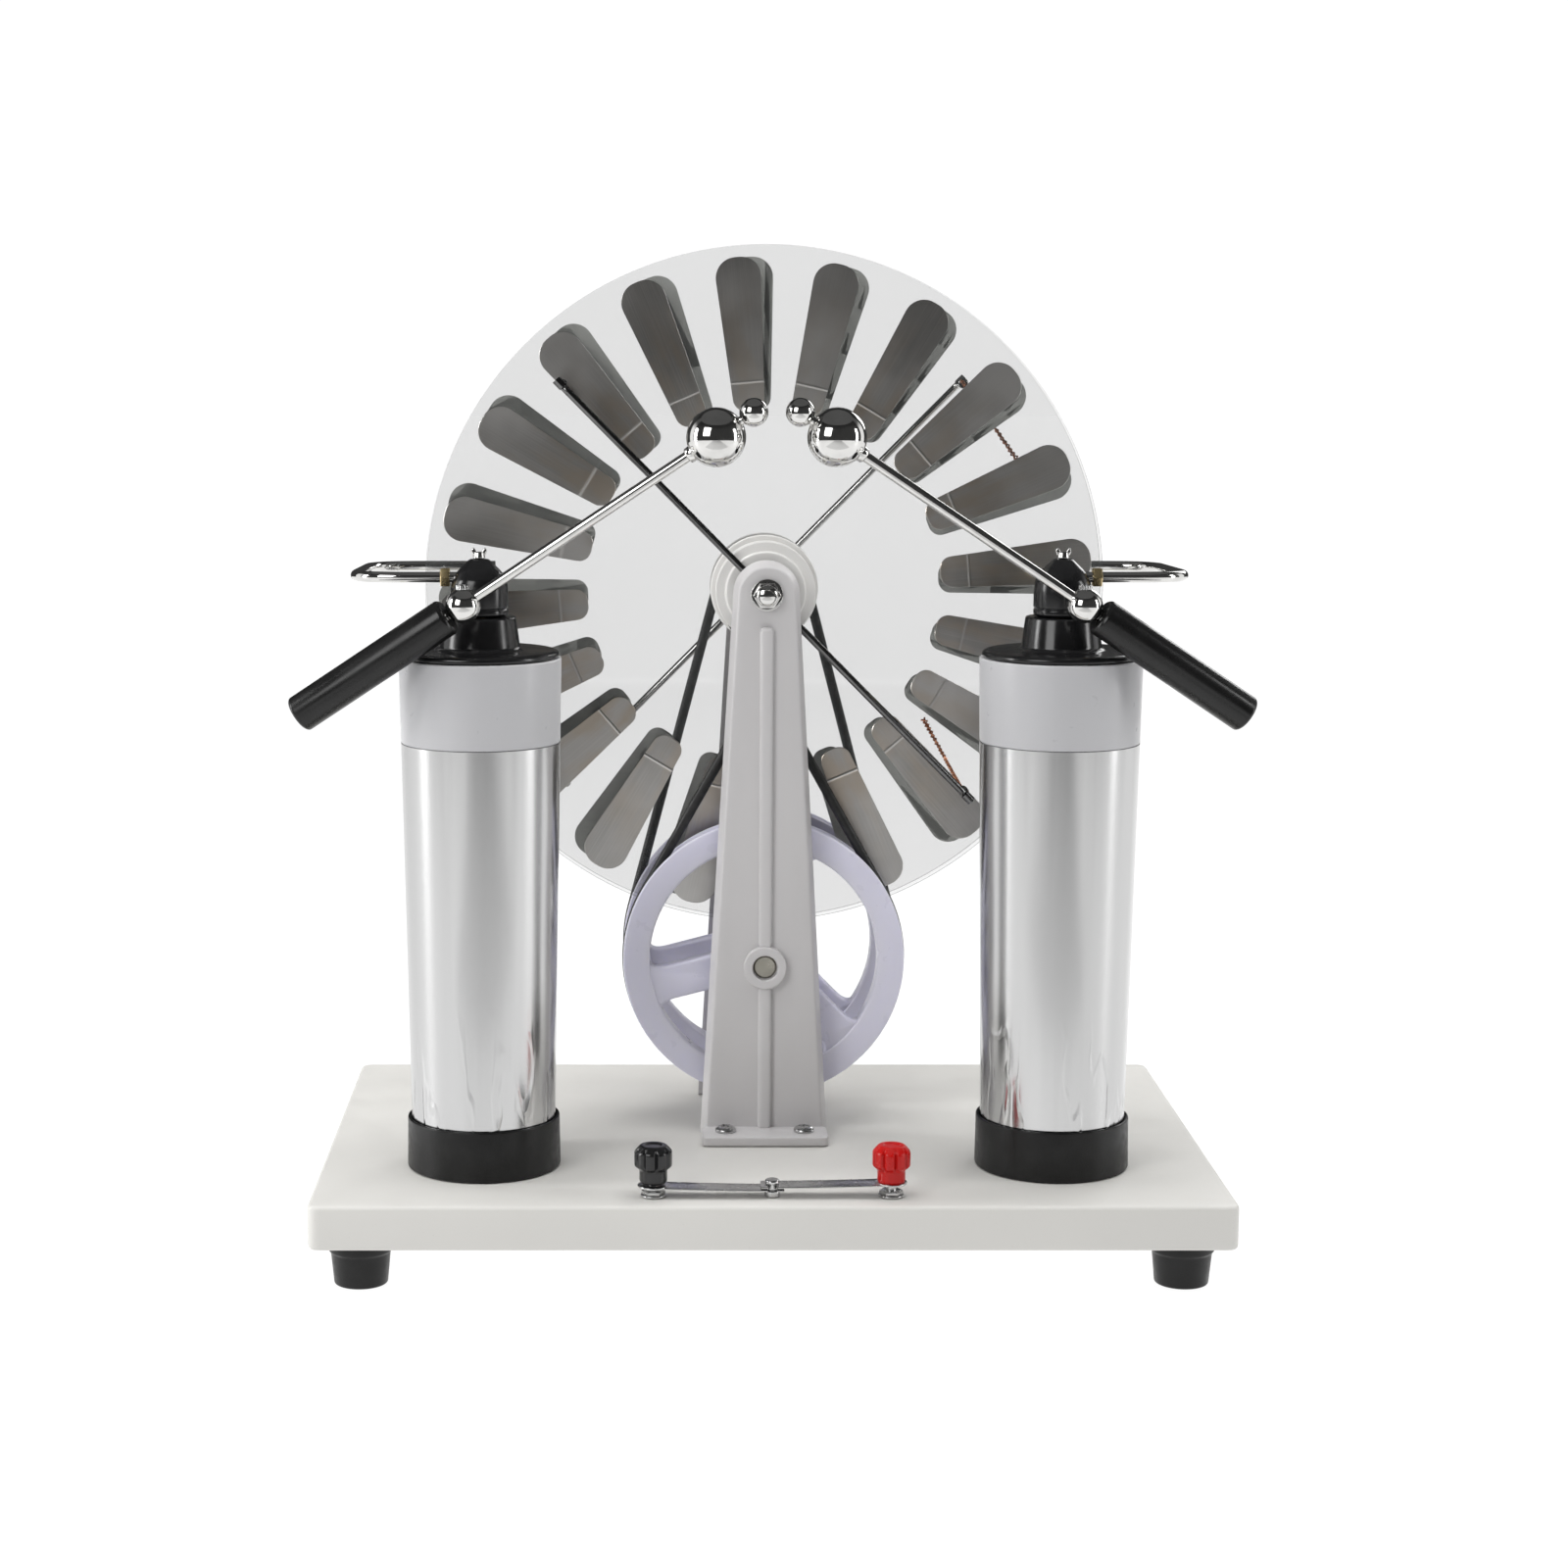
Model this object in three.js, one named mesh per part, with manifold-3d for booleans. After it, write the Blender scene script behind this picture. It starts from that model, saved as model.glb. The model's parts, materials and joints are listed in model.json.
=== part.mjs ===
// A bench-top Wimshurst influence machine: two contra-rotating clear discs between a pair of
// uprights, driven by belts from a hand crank, with two Leyden jars, collector combs, neutraliser
// rods and a pair of spark dischargers on a painted board.
// Millimetres. X runs along the board, Y from its front to its back, Z up. The origin is on the
// surface that the feet stand on, below the middle of the board.

import * as THREE from "three";
import { mergeVertices } from "three/addons/utils/BufferGeometryUtils.js";
import Module from "manifold-3d";

const wasm = await Module();
wasm.setup();

// ---------------------------------------------------------------- driving dimensions
const GAP = 0.3; // clearance wherever two pieces touch

const BOARD = { width: 350, depth: 220, thickness: 17.3, corner: 5, edge: 1.5 };
const FOOT = { height: 17.7, topRadius: 12.4, bottomRadius: 10.2, x: 156.5, y: 91.5 };
const TOP = FOOT.height + BOARD.thickness; // height of the board's top face

const DISC_Y = 25; // mid-plane between the two discs
const AXLE_Z = TOP + 220.7; // axis that the discs turn on
const SHAFT_Z = TOP + 70.6; // axis of the hand-driven shaft
const AXLE_RADIUS = 4;
const AXLE_OVERHANG = 4; // how far the axle's ends stand out of the uprights
const AXLE_COLLAR = 7; // radius of the collar that keeps the discs apart
const SHAFT_RADIUS = 4.7;
const SHAFT_OVERHANG = { front: 1.5, rear: 2 };

// Offsets called out, and those that start or end a width, are measured from DISC_Y towards the
// nearer upright.
const DISC = { radius: 137.7, inner: 2.5, outer: 5 };
const BELT = { radius: 2, out: 18, pass: 2.4, rootHalf: 1.7, mouthHalf: 3.1 };
const PULLEY = {
  flange: 21.8, flangeEnd: 8, barrel: 15, rim: 20, rimStart: 13.8, rimEnd: 22, groove: 16.4,
  cap: 16, capEnd: 23.5,
};
const WHEEL = {
  radius: 57.3, groove: 53.2, inner: 46.4, hub: 12, start: 13, end: 23,
  spokes: 3, spokeWidth: 14, spokeDepth: 8, spokeAngle: 194.6,
};
const UPRIGHT = {
  footHalf: 26, topRadius: 13.4, back: 29, front: 37, draft: 2.2, wall: 2.6,
  ribWidth: 5.4, ribDepth: 2.6, ribTop: 208, bossRadius: 8.7, bossDepth: 3.4,
  flangeHalf: 25.3, flangeFront: 53, flangeThickness: 4, pocket: 6, axleBoss: 7,
};
// Heights in CAP_NUT are above the upright's face. The dome is [radius, height] points.
const CAP_NUT = {
  washer: 7.4, washerTop: 1.1, hexagon: 5.4, hexagonTop: 3.4, blind: 4.5,
  dome: [[4.5, 5], [2.6, 6.1], [0, 6.5]],
};
const NEUTRALISER = {
  angle: 45.3, out: 26, rodRadius: 1.5, hubRadius: 7.5, hubHalf: 2.2, reach: 118.6, clipInset: 3, clipOut: 14,
};
const CRANK = {
  out: 42, thickness: 5, length: 42, eye: 9, tip: 7, pinRadius: 3, headRadius: 4.6, headEnd: 85,
  gripRadius: 8, gripEnd: 82.4, gripPlay: 0.5, gripEase: 0.6, gripNose: 2, noseLength: 4,
};

const JAR = {
  x: 111.5, y: -50.4, ringRadius: 30, ringHeight: 20.1, baseRadius: 27.74, taper: 0.01743,
  height: 200.1, wall: 2, floor: 3, foil: 0.3, foilTop: 167.5, innerFoilBottom: 8, innerFoilTop: 150,
};
const LID = {
  radius: 30.3, bottom: 200.4, top: 203.1, plugRadius: 28.1, plugDepth: 5,
  collarBottom: 15.4, collarTop: 13.9, collarHeight: 12.8,
};
const POST_BOTTOM = LID.top + LID.collarHeight + GAP;
const POST_PROFILE = [[11, 226], [10.5, 229.9], [8.3, 233.4], [3.6, 237.9]];
const POST_RADIUS = POST_PROFILE[0][0];
const POST_TOP = POST_PROFILE.at(-1)[1];
const CONTACT = { radius: 2, topZ: 219.6, bottomZ: 12, stripLength: 48, stripWidth: 6, stripThickness: 1 };
const COMB = {
  rodRadius: 2.1, frontZ: 231.1, rearZ: 228.6, rearY: 37.5, bendX: 160.5, corner: 21, endX: 110,
  root: 3, pins: 3, pinStart: 112.5, pinPitch: 9, pinRadius: 0.7,
};
const NUT = { radius: 3.9, thickness: 3.5 };
const POINT = { z: 226, radius: 1.6, root: 5, taper: 6 };
const DISC_CLEARANCE = 2.5; // from the tip of a collecting point to the disc

const DISCHARGER = {
  reach: 30, swivel: 8.5, z: 222.7, tilt: 33.5, rodRadius: 2, pivotRadius: 6.6,
  pinRadius: 2.2, pinDepth: 5, pinRoot: 4.6,
  bigRadius: 10.9, bigAt: 113.8, smallRadius: 5.3, smallAt: 130.3, neckRadius: 1.7,
  handleStart: 6.9, handleEnd: 76.7, handleRadius: 7.2, rodInHandle: 50, rodInBall: 5,
};
const WING = {
  stemRadius: 1.5, stemDepth: 4, hubRadius: 2.4, hubTopRadius: 1.9, hubHeight: 2.4, thickness: 1.4,
  outline: [[0, 0.4], [2.4, 0.8], [4.4, 3.1], [3.2, 4.3], [1.2, 2.4], [0, 2.4]],
};

const TERMINAL = { x: 45, y: -96, stemRadius: 2, stemTop: 16, nutRadius: 4.3, nutTop: 2.6 };
const CAP = { bottom: 5.4, waist: 5.3, waistTop: 10.6, radius: 7.2, top: 20.2 };
const LINK = { width: 9, eye: 6, thickness: 0.8, lowZ: 2.9, highZ: 4.1, slotHalf: 1.9 };
const LINK_STUD = { base: 3, baseTop: 2.6, stem: 1.5, headBottom: 5.2, head: 2.8, top: 6.8 };

// ---------------------------------------------------------------- materials
const finish = (color, roughness, metalness = 0) => ({ color, roughness, metalness });
const FINISH = {
  board: finish(0xd9d8d2, 0.55),
  rubber: finish(0x161616, 0.8),
  whitePlastic: finish(0xdcdadc, 0.45),
  wheelPlastic: finish(0xd3d1e0, 0.4),
  acrylic: finish(0xe6e8e8, 0.1),
  steel: finish(0xc4c4c4, 0.25, 1),
  chrome: finish(0xd8d8d8, 0.08, 1),
  brass: finish(0xc9a552, 0.3, 1),
  blackPlastic: finish(0x111112, 0.35),
  foil: finish(0xcfcfcf, 0.3, 1),
  belt: finish(0x0b0b0b, 0.6),
  red: finish(0xb81c1c, 0.4),
};

// ---------------------------------------------------------------- geometry helpers
const radians = THREE.MathUtils.degToRad;
const vec = (x, y, z) => new THREE.Vector3(x, y, z);

function strip(geometry) {
  const bare = geometry.clone();
  bare.deleteAttribute("normal");
  bare.deleteAttribute("uv");
  return mergeVertices(bare, 1e-4);
}

function toSolid(geometry) {
  const merged = strip(geometry);
  return new wasm.Manifold(
    new wasm.Mesh({
      numProp: 3,
      vertProperties: Float32Array.from(merged.attributes.position.array),
      triVerts: Uint32Array.from(merged.index.array),
    }),
  );
}

function fromSolid(solid) {
  const mesh = solid.getMesh();
  const geometry = new THREE.BufferGeometry();
  geometry.setAttribute("position", new THREE.BufferAttribute(mesh.vertProperties, 3));
  geometry.setIndex(new THREE.BufferAttribute(mesh.triVerts, 1));
  geometry.computeVertexNormals();
  return geometry;
}

const join = (...pieces) => fromSolid(pieces.map(toSolid).reduce((a, b) => a.add(b)));
const cut = (body, ...tools) =>
  fromSolid(tools.map(toSolid).reduce((a, b) => a.subtract(b), toSolid(body)));

// Turns a profile of [radius, height] points about the Y axis, with its faces outwards.
function turnedY(profile, segments = 20) {
  const points = profile.map(([r, y]) => new THREE.Vector2(r, y));
  const closed = profile[0][0] > 0;
  const outline = closed ? points : [...points, points[0]];
  if (THREE.ShapeUtils.area(outline) < 0) points.reverse();
  if (closed) points.push(points[0].clone());
  return new THREE.LatheGeometry(points, segments);
}

// The same about the Z axis.
const turnedZ = (profile, segments) => turnedY(profile, segments).rotateX(Math.PI / 2);

function box(sizeX, sizeY, sizeZ, x, y, z) {
  return new THREE.BoxGeometry(sizeX, sizeY, sizeZ).translate(x, y, z);
}

// A straight round bar between two points.
function bar(from, to, radius, sides = 10, endRadius = radius) {
  const along = to.clone().sub(from);
  const turn = new THREE.Quaternion().setFromUnitVectors(vec(0, 1, 0), along.clone().normalize());
  const middle = from.clone().add(to).multiplyScalar(0.5);
  return new THREE.CylinderGeometry(endRadius, radius, along.length(), sides)
    .applyQuaternion(turn)
    .translate(middle.x, middle.y, middle.z);
}

function ball(centre, radius, columns = 12, rows = 7) {
  return new THREE.SphereGeometry(radius, columns, rows).translate(centre.x, centre.y, centre.z);
}

// A round rod along an open curve.
function bentRod(curve, radius, sides, steps) {
  const section = new THREE.Shape();
  section.absarc(0, 0, radius, 0, 2 * Math.PI);
  const points = section.getSpacedPoints(sides).slice(0, sides);
  const outline = new THREE.Shape(points);
  return new THREE.ExtrudeGeometry(outline, { extrudePath: curve, steps, bevelEnabled: false });
}

// A round cord along a closed loop of points that lies close to an XZ plane.
function loopCord(points, radius, sides) {
  const position = [];
  const index = [];
  const count = points.length;
  points.forEach((point, i) => {
    const along = points[(i + 1) % count].clone().sub(points[(i + count - 1) % count]).normalize();
    const side = vec(0, 1, 0).cross(along).normalize();
    const up = along.clone().cross(side);
    for (let k = 0; k < sides; k++) {
      const angle = (2 * Math.PI * k) / sides;
      const corner = point.clone()
        .addScaledVector(side, radius * Math.cos(angle))
        .addScaledVector(up, radius * Math.sin(angle));
      position.push(corner.x, corner.y, corner.z);
      const [a, b] = [i * sides + k, i * sides + ((k + 1) % sides)];
      const [c, d] = [((i + 1) % count) * sides + k, ((i + 1) % count) * sides + ((k + 1) % sides)];
      index.push(a, c, b, b, c, d);
    }
  });
  const geometry = new THREE.BufferGeometry();
  geometry.setAttribute("position", new THREE.Float32BufferAttribute(position, 3));
  geometry.setIndex(index);
  return toSolid(geometry).volume() < 0 ? flipped(geometry) : geometry;
}

function flipped(geometry) {
  const index = geometry.index.array;
  for (let i = 0; i < index.length; i += 3) [index[i], index[i + 1]] = [index[i + 1], index[i]];
  return geometry;
}

// A plate between two outlines with the same number of [x, z] points, one at each y.
function lofted(backOutline, backY, frontOutline, frontY) {
  const count = backOutline.length;
  const ring = (outline, y) => outline.flatMap(([x, z]) => [x, y, z]);
  const flat = (outline) => outline.map(([x, z]) => new THREE.Vector2(x, z));
  const index = [];
  for (const [a, b, c] of THREE.ShapeUtils.triangulateShape(flat(backOutline), [])) {
    index.push(a, c, b);
  }
  for (const [a, b, c] of THREE.ShapeUtils.triangulateShape(flat(frontOutline), [])) {
    index.push(a + count, b + count, c + count);
  }
  for (let i = 0; i < count; i++) {
    const next = (i + 1) % count;
    index.push(i, next, i + count, next, next + count, i + count);
  }
  const geometry = new THREE.BufferGeometry();
  geometry.setAttribute(
    "position",
    new THREE.Float32BufferAttribute([...ring(backOutline, backY), ...ring(frontOutline, frontY)], 3),
  );
  geometry.setIndex(index);
  return toSolid(geometry).volume() < 0 ? flipped(geometry) : geometry;
}

// ---------------------------------------------------------------- scene graph
const machine = new THREE.Group();
// Everything on the disc axle is built facing the front upright, with "out" along -Y. The rear
// half is the same half turned round.
const frontHalf = new THREE.Group();
frontHalf.position.y = DISC_Y;
const rearHalf = new THREE.Group();
rearHalf.position.y = DISC_Y;
rearHalf.rotation.z = Math.PI;
machine.add(frontHalf, rearHalf);

function place(name, geometry, look, parent = machine) {
  const mesh = new THREE.Mesh(geometry, new THREE.MeshStandardMaterial(FINISH[look]));
  mesh.name = name;
  parent.add(mesh);
  return mesh;
}

// ---------------------------------------------------------------- board and feet
function roundedBoard() {
  const { width, depth, thickness, corner, edge } = BOARD;
  const [hx, hy] = [width / 2, depth / 2];
  const shape = new THREE.Shape();
  shape.moveTo(hx, -hy + corner);
  shape.absarc(hx - corner, hy - corner, corner, 0, Math.PI / 2);
  shape.absarc(-hx + corner, hy - corner, corner, Math.PI / 2, Math.PI);
  shape.absarc(-hx + corner, -hy + corner, corner, Math.PI, 1.5 * Math.PI);
  shape.absarc(hx - corner, -hy + corner, corner, 1.5 * Math.PI, 2 * Math.PI);
  return new THREE.ExtrudeGeometry(shape, {
    depth: thickness - 2 * edge,
    bevelThickness: edge,
    bevelSize: edge,
    bevelOffset: -edge,
    bevelSegments: 1,
    curveSegments: 3,
  }).translate(0, 0, FOOT.height + edge);
}

function rubberFoot() {
  const { height, topRadius, bottomRadius } = FOOT;
  const top = height - GAP;
  return turnedZ([[0, 0], [bottomRadius - 1, 0], [bottomRadius, 1], [topRadius, top], [0, top]], 20);
}

function addBoard() {
  place("base_board", roundedBoard(), "board");
  for (const [end, y] of [["front", -FOOT.y], ["rear", FOOT.y]]) {
    for (const [side, x] of [["left", -FOOT.x], ["right", FOOT.x]]) {
      place(`foot_${end}_${side}`, rubberFoot().translate(x, y, 0), "rubber");
    }
  }
}

// ---------------------------------------------------------------- uprights, axle and nuts
// The outline of an upright, drawn in from its widest edge by inset: straight sides to a round top.
function uprightOutline(inset, bottom = TOP + GAP) {
  const radius = UPRIGHT.topRadius - inset;
  const outline = [[-UPRIGHT.footHalf + inset, bottom]];
  const steps = 10;
  for (let i = 0; i <= steps; i++) {
    const angle = Math.PI - (Math.PI * i) / steps;
    outline.push([radius * Math.cos(angle), AXLE_Z + radius * Math.sin(angle)]);
  }
  outline.push([UPRIGHT.footHalf - inset, bottom]);
  return outline.reverse();
}

// A channel with flared sides that is open at its back, ribbed and bossed at its front, on a flange.
function upright() {
  const { back, front, draft, wall, ribWidth, ribDepth, ribTop, bossRadius, bossDepth } = UPRIGHT;
  const { flangeHalf, flangeFront, flangeThickness, pocket, axleBoss } = UPRIGHT;
  const hollow = (inset) => uprightOutline(inset, TOP + pocket);
  const channel = cut(
    lofted(uprightOutline(0), -back, uprightOutline(draft), -front),
    lofted(hollow(wall), -back + 1, hollow(wall + draft), -front + wall),
  );
  const ribBottom = TOP + GAP + 1;
  const ribHeight = TOP + ribTop - ribBottom;
  const onAxis = (z, from, to, radius) => bar(vec(0, -from, z), vec(0, -to, z), radius, 20);
  return cut(
    join(
      channel,
      box(ribWidth, ribDepth + 1, ribHeight, 0, -front - ribDepth / 2 + 0.5, ribBottom + ribHeight / 2),
      onAxis(AXLE_Z, back + 0.5, front - 1, axleBoss),
      onAxis(SHAFT_Z, back + 0.5, front + bossDepth, bossRadius),
      box(2 * flangeHalf, flangeFront - front + 1, flangeThickness,
        0, -(flangeFront + front - 1) / 2, TOP + GAP + flangeThickness / 2),
    ),
    onAxis(AXLE_Z, back - 5, front + 5, AXLE_RADIUS + GAP),
    onAxis(SHAFT_Z, back - 5, flangeFront, SHAFT_RADIUS + GAP),
  );
}

function upperAxle() {
  const end = UPRIGHT.front + AXLE_OVERHANG;
  const collar = DISC.inner - GAP;
  return turnedY([
    [0, -end], [AXLE_RADIUS, -end], [AXLE_RADIUS, -collar], [AXLE_COLLAR, -collar],
    [AXLE_COLLAR, collar], [AXLE_RADIUS, collar], [AXLE_RADIUS, end], [0, end],
  ], 20).translate(0, DISC_Y, AXLE_Z);
}

// A washer and domed nut in one turned piece.
function capNut() {
  const { washer, washerTop, hexagon, hexagonTop, dome } = CAP_NUT;
  const seat = UPRIGHT.front + GAP;
  const bore = AXLE_RADIUS + GAP;
  const blind = UPRIGHT.front + CAP_NUT.blind;
  const outside = [[washer, 0], [washer, washerTop], [hexagon, washerTop], [hexagon, hexagonTop], ...dome];
  return turnedY([
    [0, -blind], [bore, -blind], [bore, -seat], ...outside.map(([radius, rise]) => [radius, -seat - rise]),
  ], 20).translate(0, 0, AXLE_Z);
}

function addFrame() {
  place("front_upright", upright(), "whitePlastic", frontHalf);
  place("rear_upright", upright(), "whitePlastic", rearHalf);
  place("upper_axle", upperAxle(), "steel");
  place("front_cap_nut", capNut(), "chrome", frontHalf);
  place("rear_cap_nut", capNut(), "chrome", rearHalf);
}

// ---------------------------------------------------------------- discs and pulleys
// The profile of a belt groove, from its mouth near the discs round its root to its outer mouth.
function grooveProfile(mouthRadius, rootRadius) {
  const { out, rootHalf, mouthHalf } = BELT;
  return [
    [mouthRadius, -out + mouthHalf], [rootRadius, -out + rootHalf],
    [rootRadius, -out - rootHalf], [mouthRadius, -out - mouthHalf],
  ];
}

function disc() {
  const { radius, inner, outer } = DISC;
  const bore = AXLE_RADIUS + GAP;
  return turnedY([[bore, -inner], [radius, -inner], [radius, -outer], [bore, -outer]], 48)
    .translate(0, 0, AXLE_Z);
}

function pulley() {
  const p = PULLEY;
  const bore = AXLE_RADIUS + GAP;
  const start = DISC.outer + GAP;
  return turnedY([
    [bore, -start], [p.flange, -start], [p.flange, -p.flangeEnd], [p.barrel, -p.flangeEnd],
    [p.barrel, -p.rimStart], [p.rim, -p.rimStart], ...grooveProfile(p.rim, p.groove), [p.rim, -p.rimEnd],
    [p.cap, -p.rimEnd], [p.cap, -p.capEnd], [bore, -p.capEnd],
  ], 20).translate(0, 0, AXLE_Z);
}

function addDiscs() {
  for (const [end, half] of [["front", frontHalf], ["rear", rearHalf]]) {
    place(`${end}_disc`, disc(), "acrylic", half);
    place(`${end}_pulley`, pulley(), "whitePlastic", half);
  }
}

// ---------------------------------------------------------------- drive shaft, wheels and crank
function driveShaft() {
  const frontEnd = UPRIGHT.front + UPRIGHT.bossDepth + SHAFT_OVERHANG.front;
  const rearEnd = CRANK.out + CRANK.thickness + SHAFT_OVERHANG.rear;
  return turnedY([[0, -frontEnd], [SHAFT_RADIUS, -frontEnd], [SHAFT_RADIUS, rearEnd], [0, rearEnd]], 20)
    .translate(0, DISC_Y, SHAFT_Z);
}

// A grooved rim and a hub joined by flat spokes, with the first spoke at firstAngle.
function driveWheel(firstAngle) {
  const { radius, groove, inner, hub, start, end, spokes, spokeWidth, spokeDepth } = WHEEL;
  const rim = turnedY([
    [inner, -start], [radius, -start], ...grooveProfile(radius, groove), [radius, -end], [inner, -end],
  ], 30);
  const boss = bar(vec(0, -start + 1, 0), vec(0, -end - 1.5, 0), hub, 20);
  const overlap = 2;
  const length = inner - hub + 2 * overlap;
  const arms = [];
  for (let i = 0; i < spokes; i++) {
    const spoke = box(length, spokeDepth, spokeWidth, hub - overlap + length / 2, -(start + end) / 2, 0);
    arms.push(spoke.rotateY(-radians(firstAngle + (360 / spokes) * i)));
  }
  return cut(join(rim, boss, ...arms), bar(vec(0, 0, 0), vec(0, -end - 6, 0), SHAFT_RADIUS + GAP, 20))
    .translate(0, 0, SHAFT_Z);
}

// The arm hangs down from the shaft, with the pin that the grip turns on at its lower end.
function crankArm() {
  const { out, thickness, length, eye, tip, pinRadius, headRadius, gripEnd, headEnd } = CRANK;
  const shape = new THREE.Shape();
  shape.moveTo(eye, 0);
  shape.absarc(0, 0, eye, 0, Math.PI);
  shape.lineTo(-tip, -length);
  shape.absarc(0, -length, tip, Math.PI, 2 * Math.PI);
  shape.lineTo(eye, 0);
  const plate = new THREE.ExtrudeGeometry(shape, { depth: thickness, bevelEnabled: false, curveSegments: 8 })
    .rotateX(Math.PI / 2)
    .translate(0, out + thickness, 0);
  const pinStart = vec(0, out + thickness - 1, -length);
  const body = join(
    plate,
    bar(pinStart, vec(0, headEnd, -length), pinRadius, 16),
    bar(vec(0, gripEnd + GAP, -length), vec(0, headEnd, -length), headRadius, 16),
  );
  return cut(body, bar(vec(0, out - 5, 0), vec(0, out + thickness + 5, 0), SHAFT_RADIUS + GAP, 20))
    .translate(0, DISC_Y, SHAFT_Z);
}

function crankGrip() {
  const { out, thickness, length, pinRadius } = CRANK;
  const { gripRadius, gripEnd, gripPlay, gripEase, gripNose, noseLength } = CRANK;
  const bore = pinRadius + GAP;
  const start = out + thickness + GAP + gripPlay;
  const middle = (start + gripEnd) / 2;
  return turnedY([
    [bore, start], [gripRadius - gripNose, start], [gripRadius - gripEase, start + noseLength],
    [gripRadius, middle], [gripRadius - gripEase, gripEnd - noseLength],
    [gripRadius - gripNose, gripEnd], [bore, gripEnd],
  ], 20).translate(0, DISC_Y, SHAFT_Z - length);
}

function addDrive() {
  place("drive_shaft", driveShaft(), "steel");
  place("front_drive_wheel", driveWheel(WHEEL.spokeAngle), "wheelPlastic", frontHalf);
  place("rear_drive_wheel", driveWheel(180 - WHEEL.spokeAngle), "wheelPlastic", rearHalf);
  place("crank_arm", crankArm(), "steel");
  place("crank_grip", crankGrip(), "blackPlastic");
}

// ---------------------------------------------------------------- belts
const SEAT = GAP + 0.2; // the belt's chords dip below its round path by less than this
const PULLEY_PITCH = PULLEY.groove + BELT.radius + SEAT;
const WHEEL_PITCH = WHEEL.groove + BELT.radius + SEAT;

// The points of an arc about (0, z), from one angle to another in degrees.
function arcPoints(z, radius, from, to, steps) {
  const points = [];
  for (let i = 0; i <= steps; i++) {
    const angle = radians(from + ((to - from) * i) / steps);
    points.push(vec(radius * Math.cos(angle), -BELT.out, z + radius * Math.sin(angle)));
  }
  return points;
}

// The free run between two points, bowed sideways by bow so that crossed runs pass each other.
// The bow is greatest at the fraction peak of the run.
function runPoints(from, to, bow, peak, steps = 9) {
  const points = [];
  for (let i = 1; i < steps; i++) {
    const t = i / steps;
    const rise = t < peak ? t / peak : (1 - t) / (1 - peak);
    const point = from.clone().lerp(to, t);
    point.y += bow * Math.sin((Math.PI / 2) * rise) ** 2;
    points.push(point);
  }
  return points;
}

function belt(crossed) {
  const span = AXLE_Z - SHAFT_Z;
  const lean = THREE.MathUtils.radToDeg(
    Math.asin((WHEEL_PITCH + (crossed ? PULLEY_PITCH : -PULLEY_PITCH)) / span),
  );
  const overPulley = crossed
    ? arcPoints(AXLE_Z, PULLEY_PITCH, -lean, 180 + lean, 15)
    : arcPoints(AXLE_Z, PULLEY_PITCH, lean, 180 - lean, 12);
  const underWheel = crossed
    ? arcPoints(SHAFT_Z, WHEEL_PITCH, lean, -180 - lean, 24)
    : arcPoints(SHAFT_Z, WHEEL_PITCH, 180 - lean, 360 + lean, 20);
  const bow = crossed ? BELT.pass : 0;
  const peak = PULLEY_PITCH / (PULLEY_PITCH + WHEEL_PITCH);
  return loopCord([
    ...overPulley,
    ...runPoints(overPulley.at(-1), underWheel[0], bow, peak),
    ...underWheel,
    ...runPoints(underWheel.at(-1), overPulley[0], -bow, 1 - peak),
  ], BELT.radius, 6);
}

function addBelts() {
  place("front_belt", belt(true), "belt", frontHalf);
  place("rear_belt", belt(false), "belt", rearHalf);
}

// ---------------------------------------------------------------- neutralisers
// A straight rod through a clamp on the axle, with a clip at each end that reaches in towards the
// disc and holds a brush.
function neutraliser() {
  const { angle, out, rodRadius, hubRadius, hubHalf, reach, clipInset, clipOut } = NEUTRALISER;
  const bore = AXLE_RADIUS + GAP;
  const ring = turnedY([
    [bore, -out + hubHalf], [hubRadius, -out + hubHalf], [hubRadius, -out - hubHalf], [bore, -out - hubHalf],
  ], 20);
  const clip = reach - clipInset;
  const clipRadius = 0.8 * rodRadius;
  const pieces = [-1, 1].flatMap((way) => [
    bar(vec(way * (bore + 1), -out, 0), vec(way * reach, -out, 0), rodRadius, 8),
    bar(vec(way * clip, -out, 0), vec(way * clip, -clipOut, 0), clipRadius, 8),
  ]);
  return join(ring, ...pieces).rotateY(radians(angle)).translate(0, 0, AXLE_Z);
}

function addNeutralisers() {
  place("front_neutraliser", neutraliser(), "chrome", frontHalf);
  place("rear_neutraliser", neutraliser(), "chrome", rearHalf);
}

// ---------------------------------------------------------------- Leyden jars
const jarRadius = (height) => JAR.baseRadius + JAR.taper * height;

function footRing() {
  const { ringRadius, ringHeight, floor } = JAR;
  const socket = jarRadius(ringHeight) + GAP;
  return turnedZ([
    [0, GAP], [ringRadius, GAP], [ringRadius - 0.3, ringHeight], [socket, ringHeight],
    [socket, floor], [0, floor],
  ]);
}

function shell(outerInset, thickness, bottom, top) {
  const outer = (z) => jarRadius(z) - outerInset;
  return turnedZ([
    [outer(bottom), bottom], [outer(top), top],
    [outer(top) - thickness, top], [outer(bottom) - thickness, bottom],
  ]);
}

function jarCup() {
  const { foil, foilTop, wall, floor, height } = JAR;
  const bottom = floor + GAP;
  const step = foil + GAP;
  const inside = (z) => jarRadius(z) - step - wall;
  return turnedZ([
    [0, bottom], [jarRadius(bottom) - step, bottom], [jarRadius(foilTop) - step, foilTop + GAP],
    [jarRadius(foilTop), foilTop + GAP], [jarRadius(height), height], [inside(height), height],
    [inside(bottom + floor), bottom + floor], [0, bottom + floor],
  ]);
}

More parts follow.
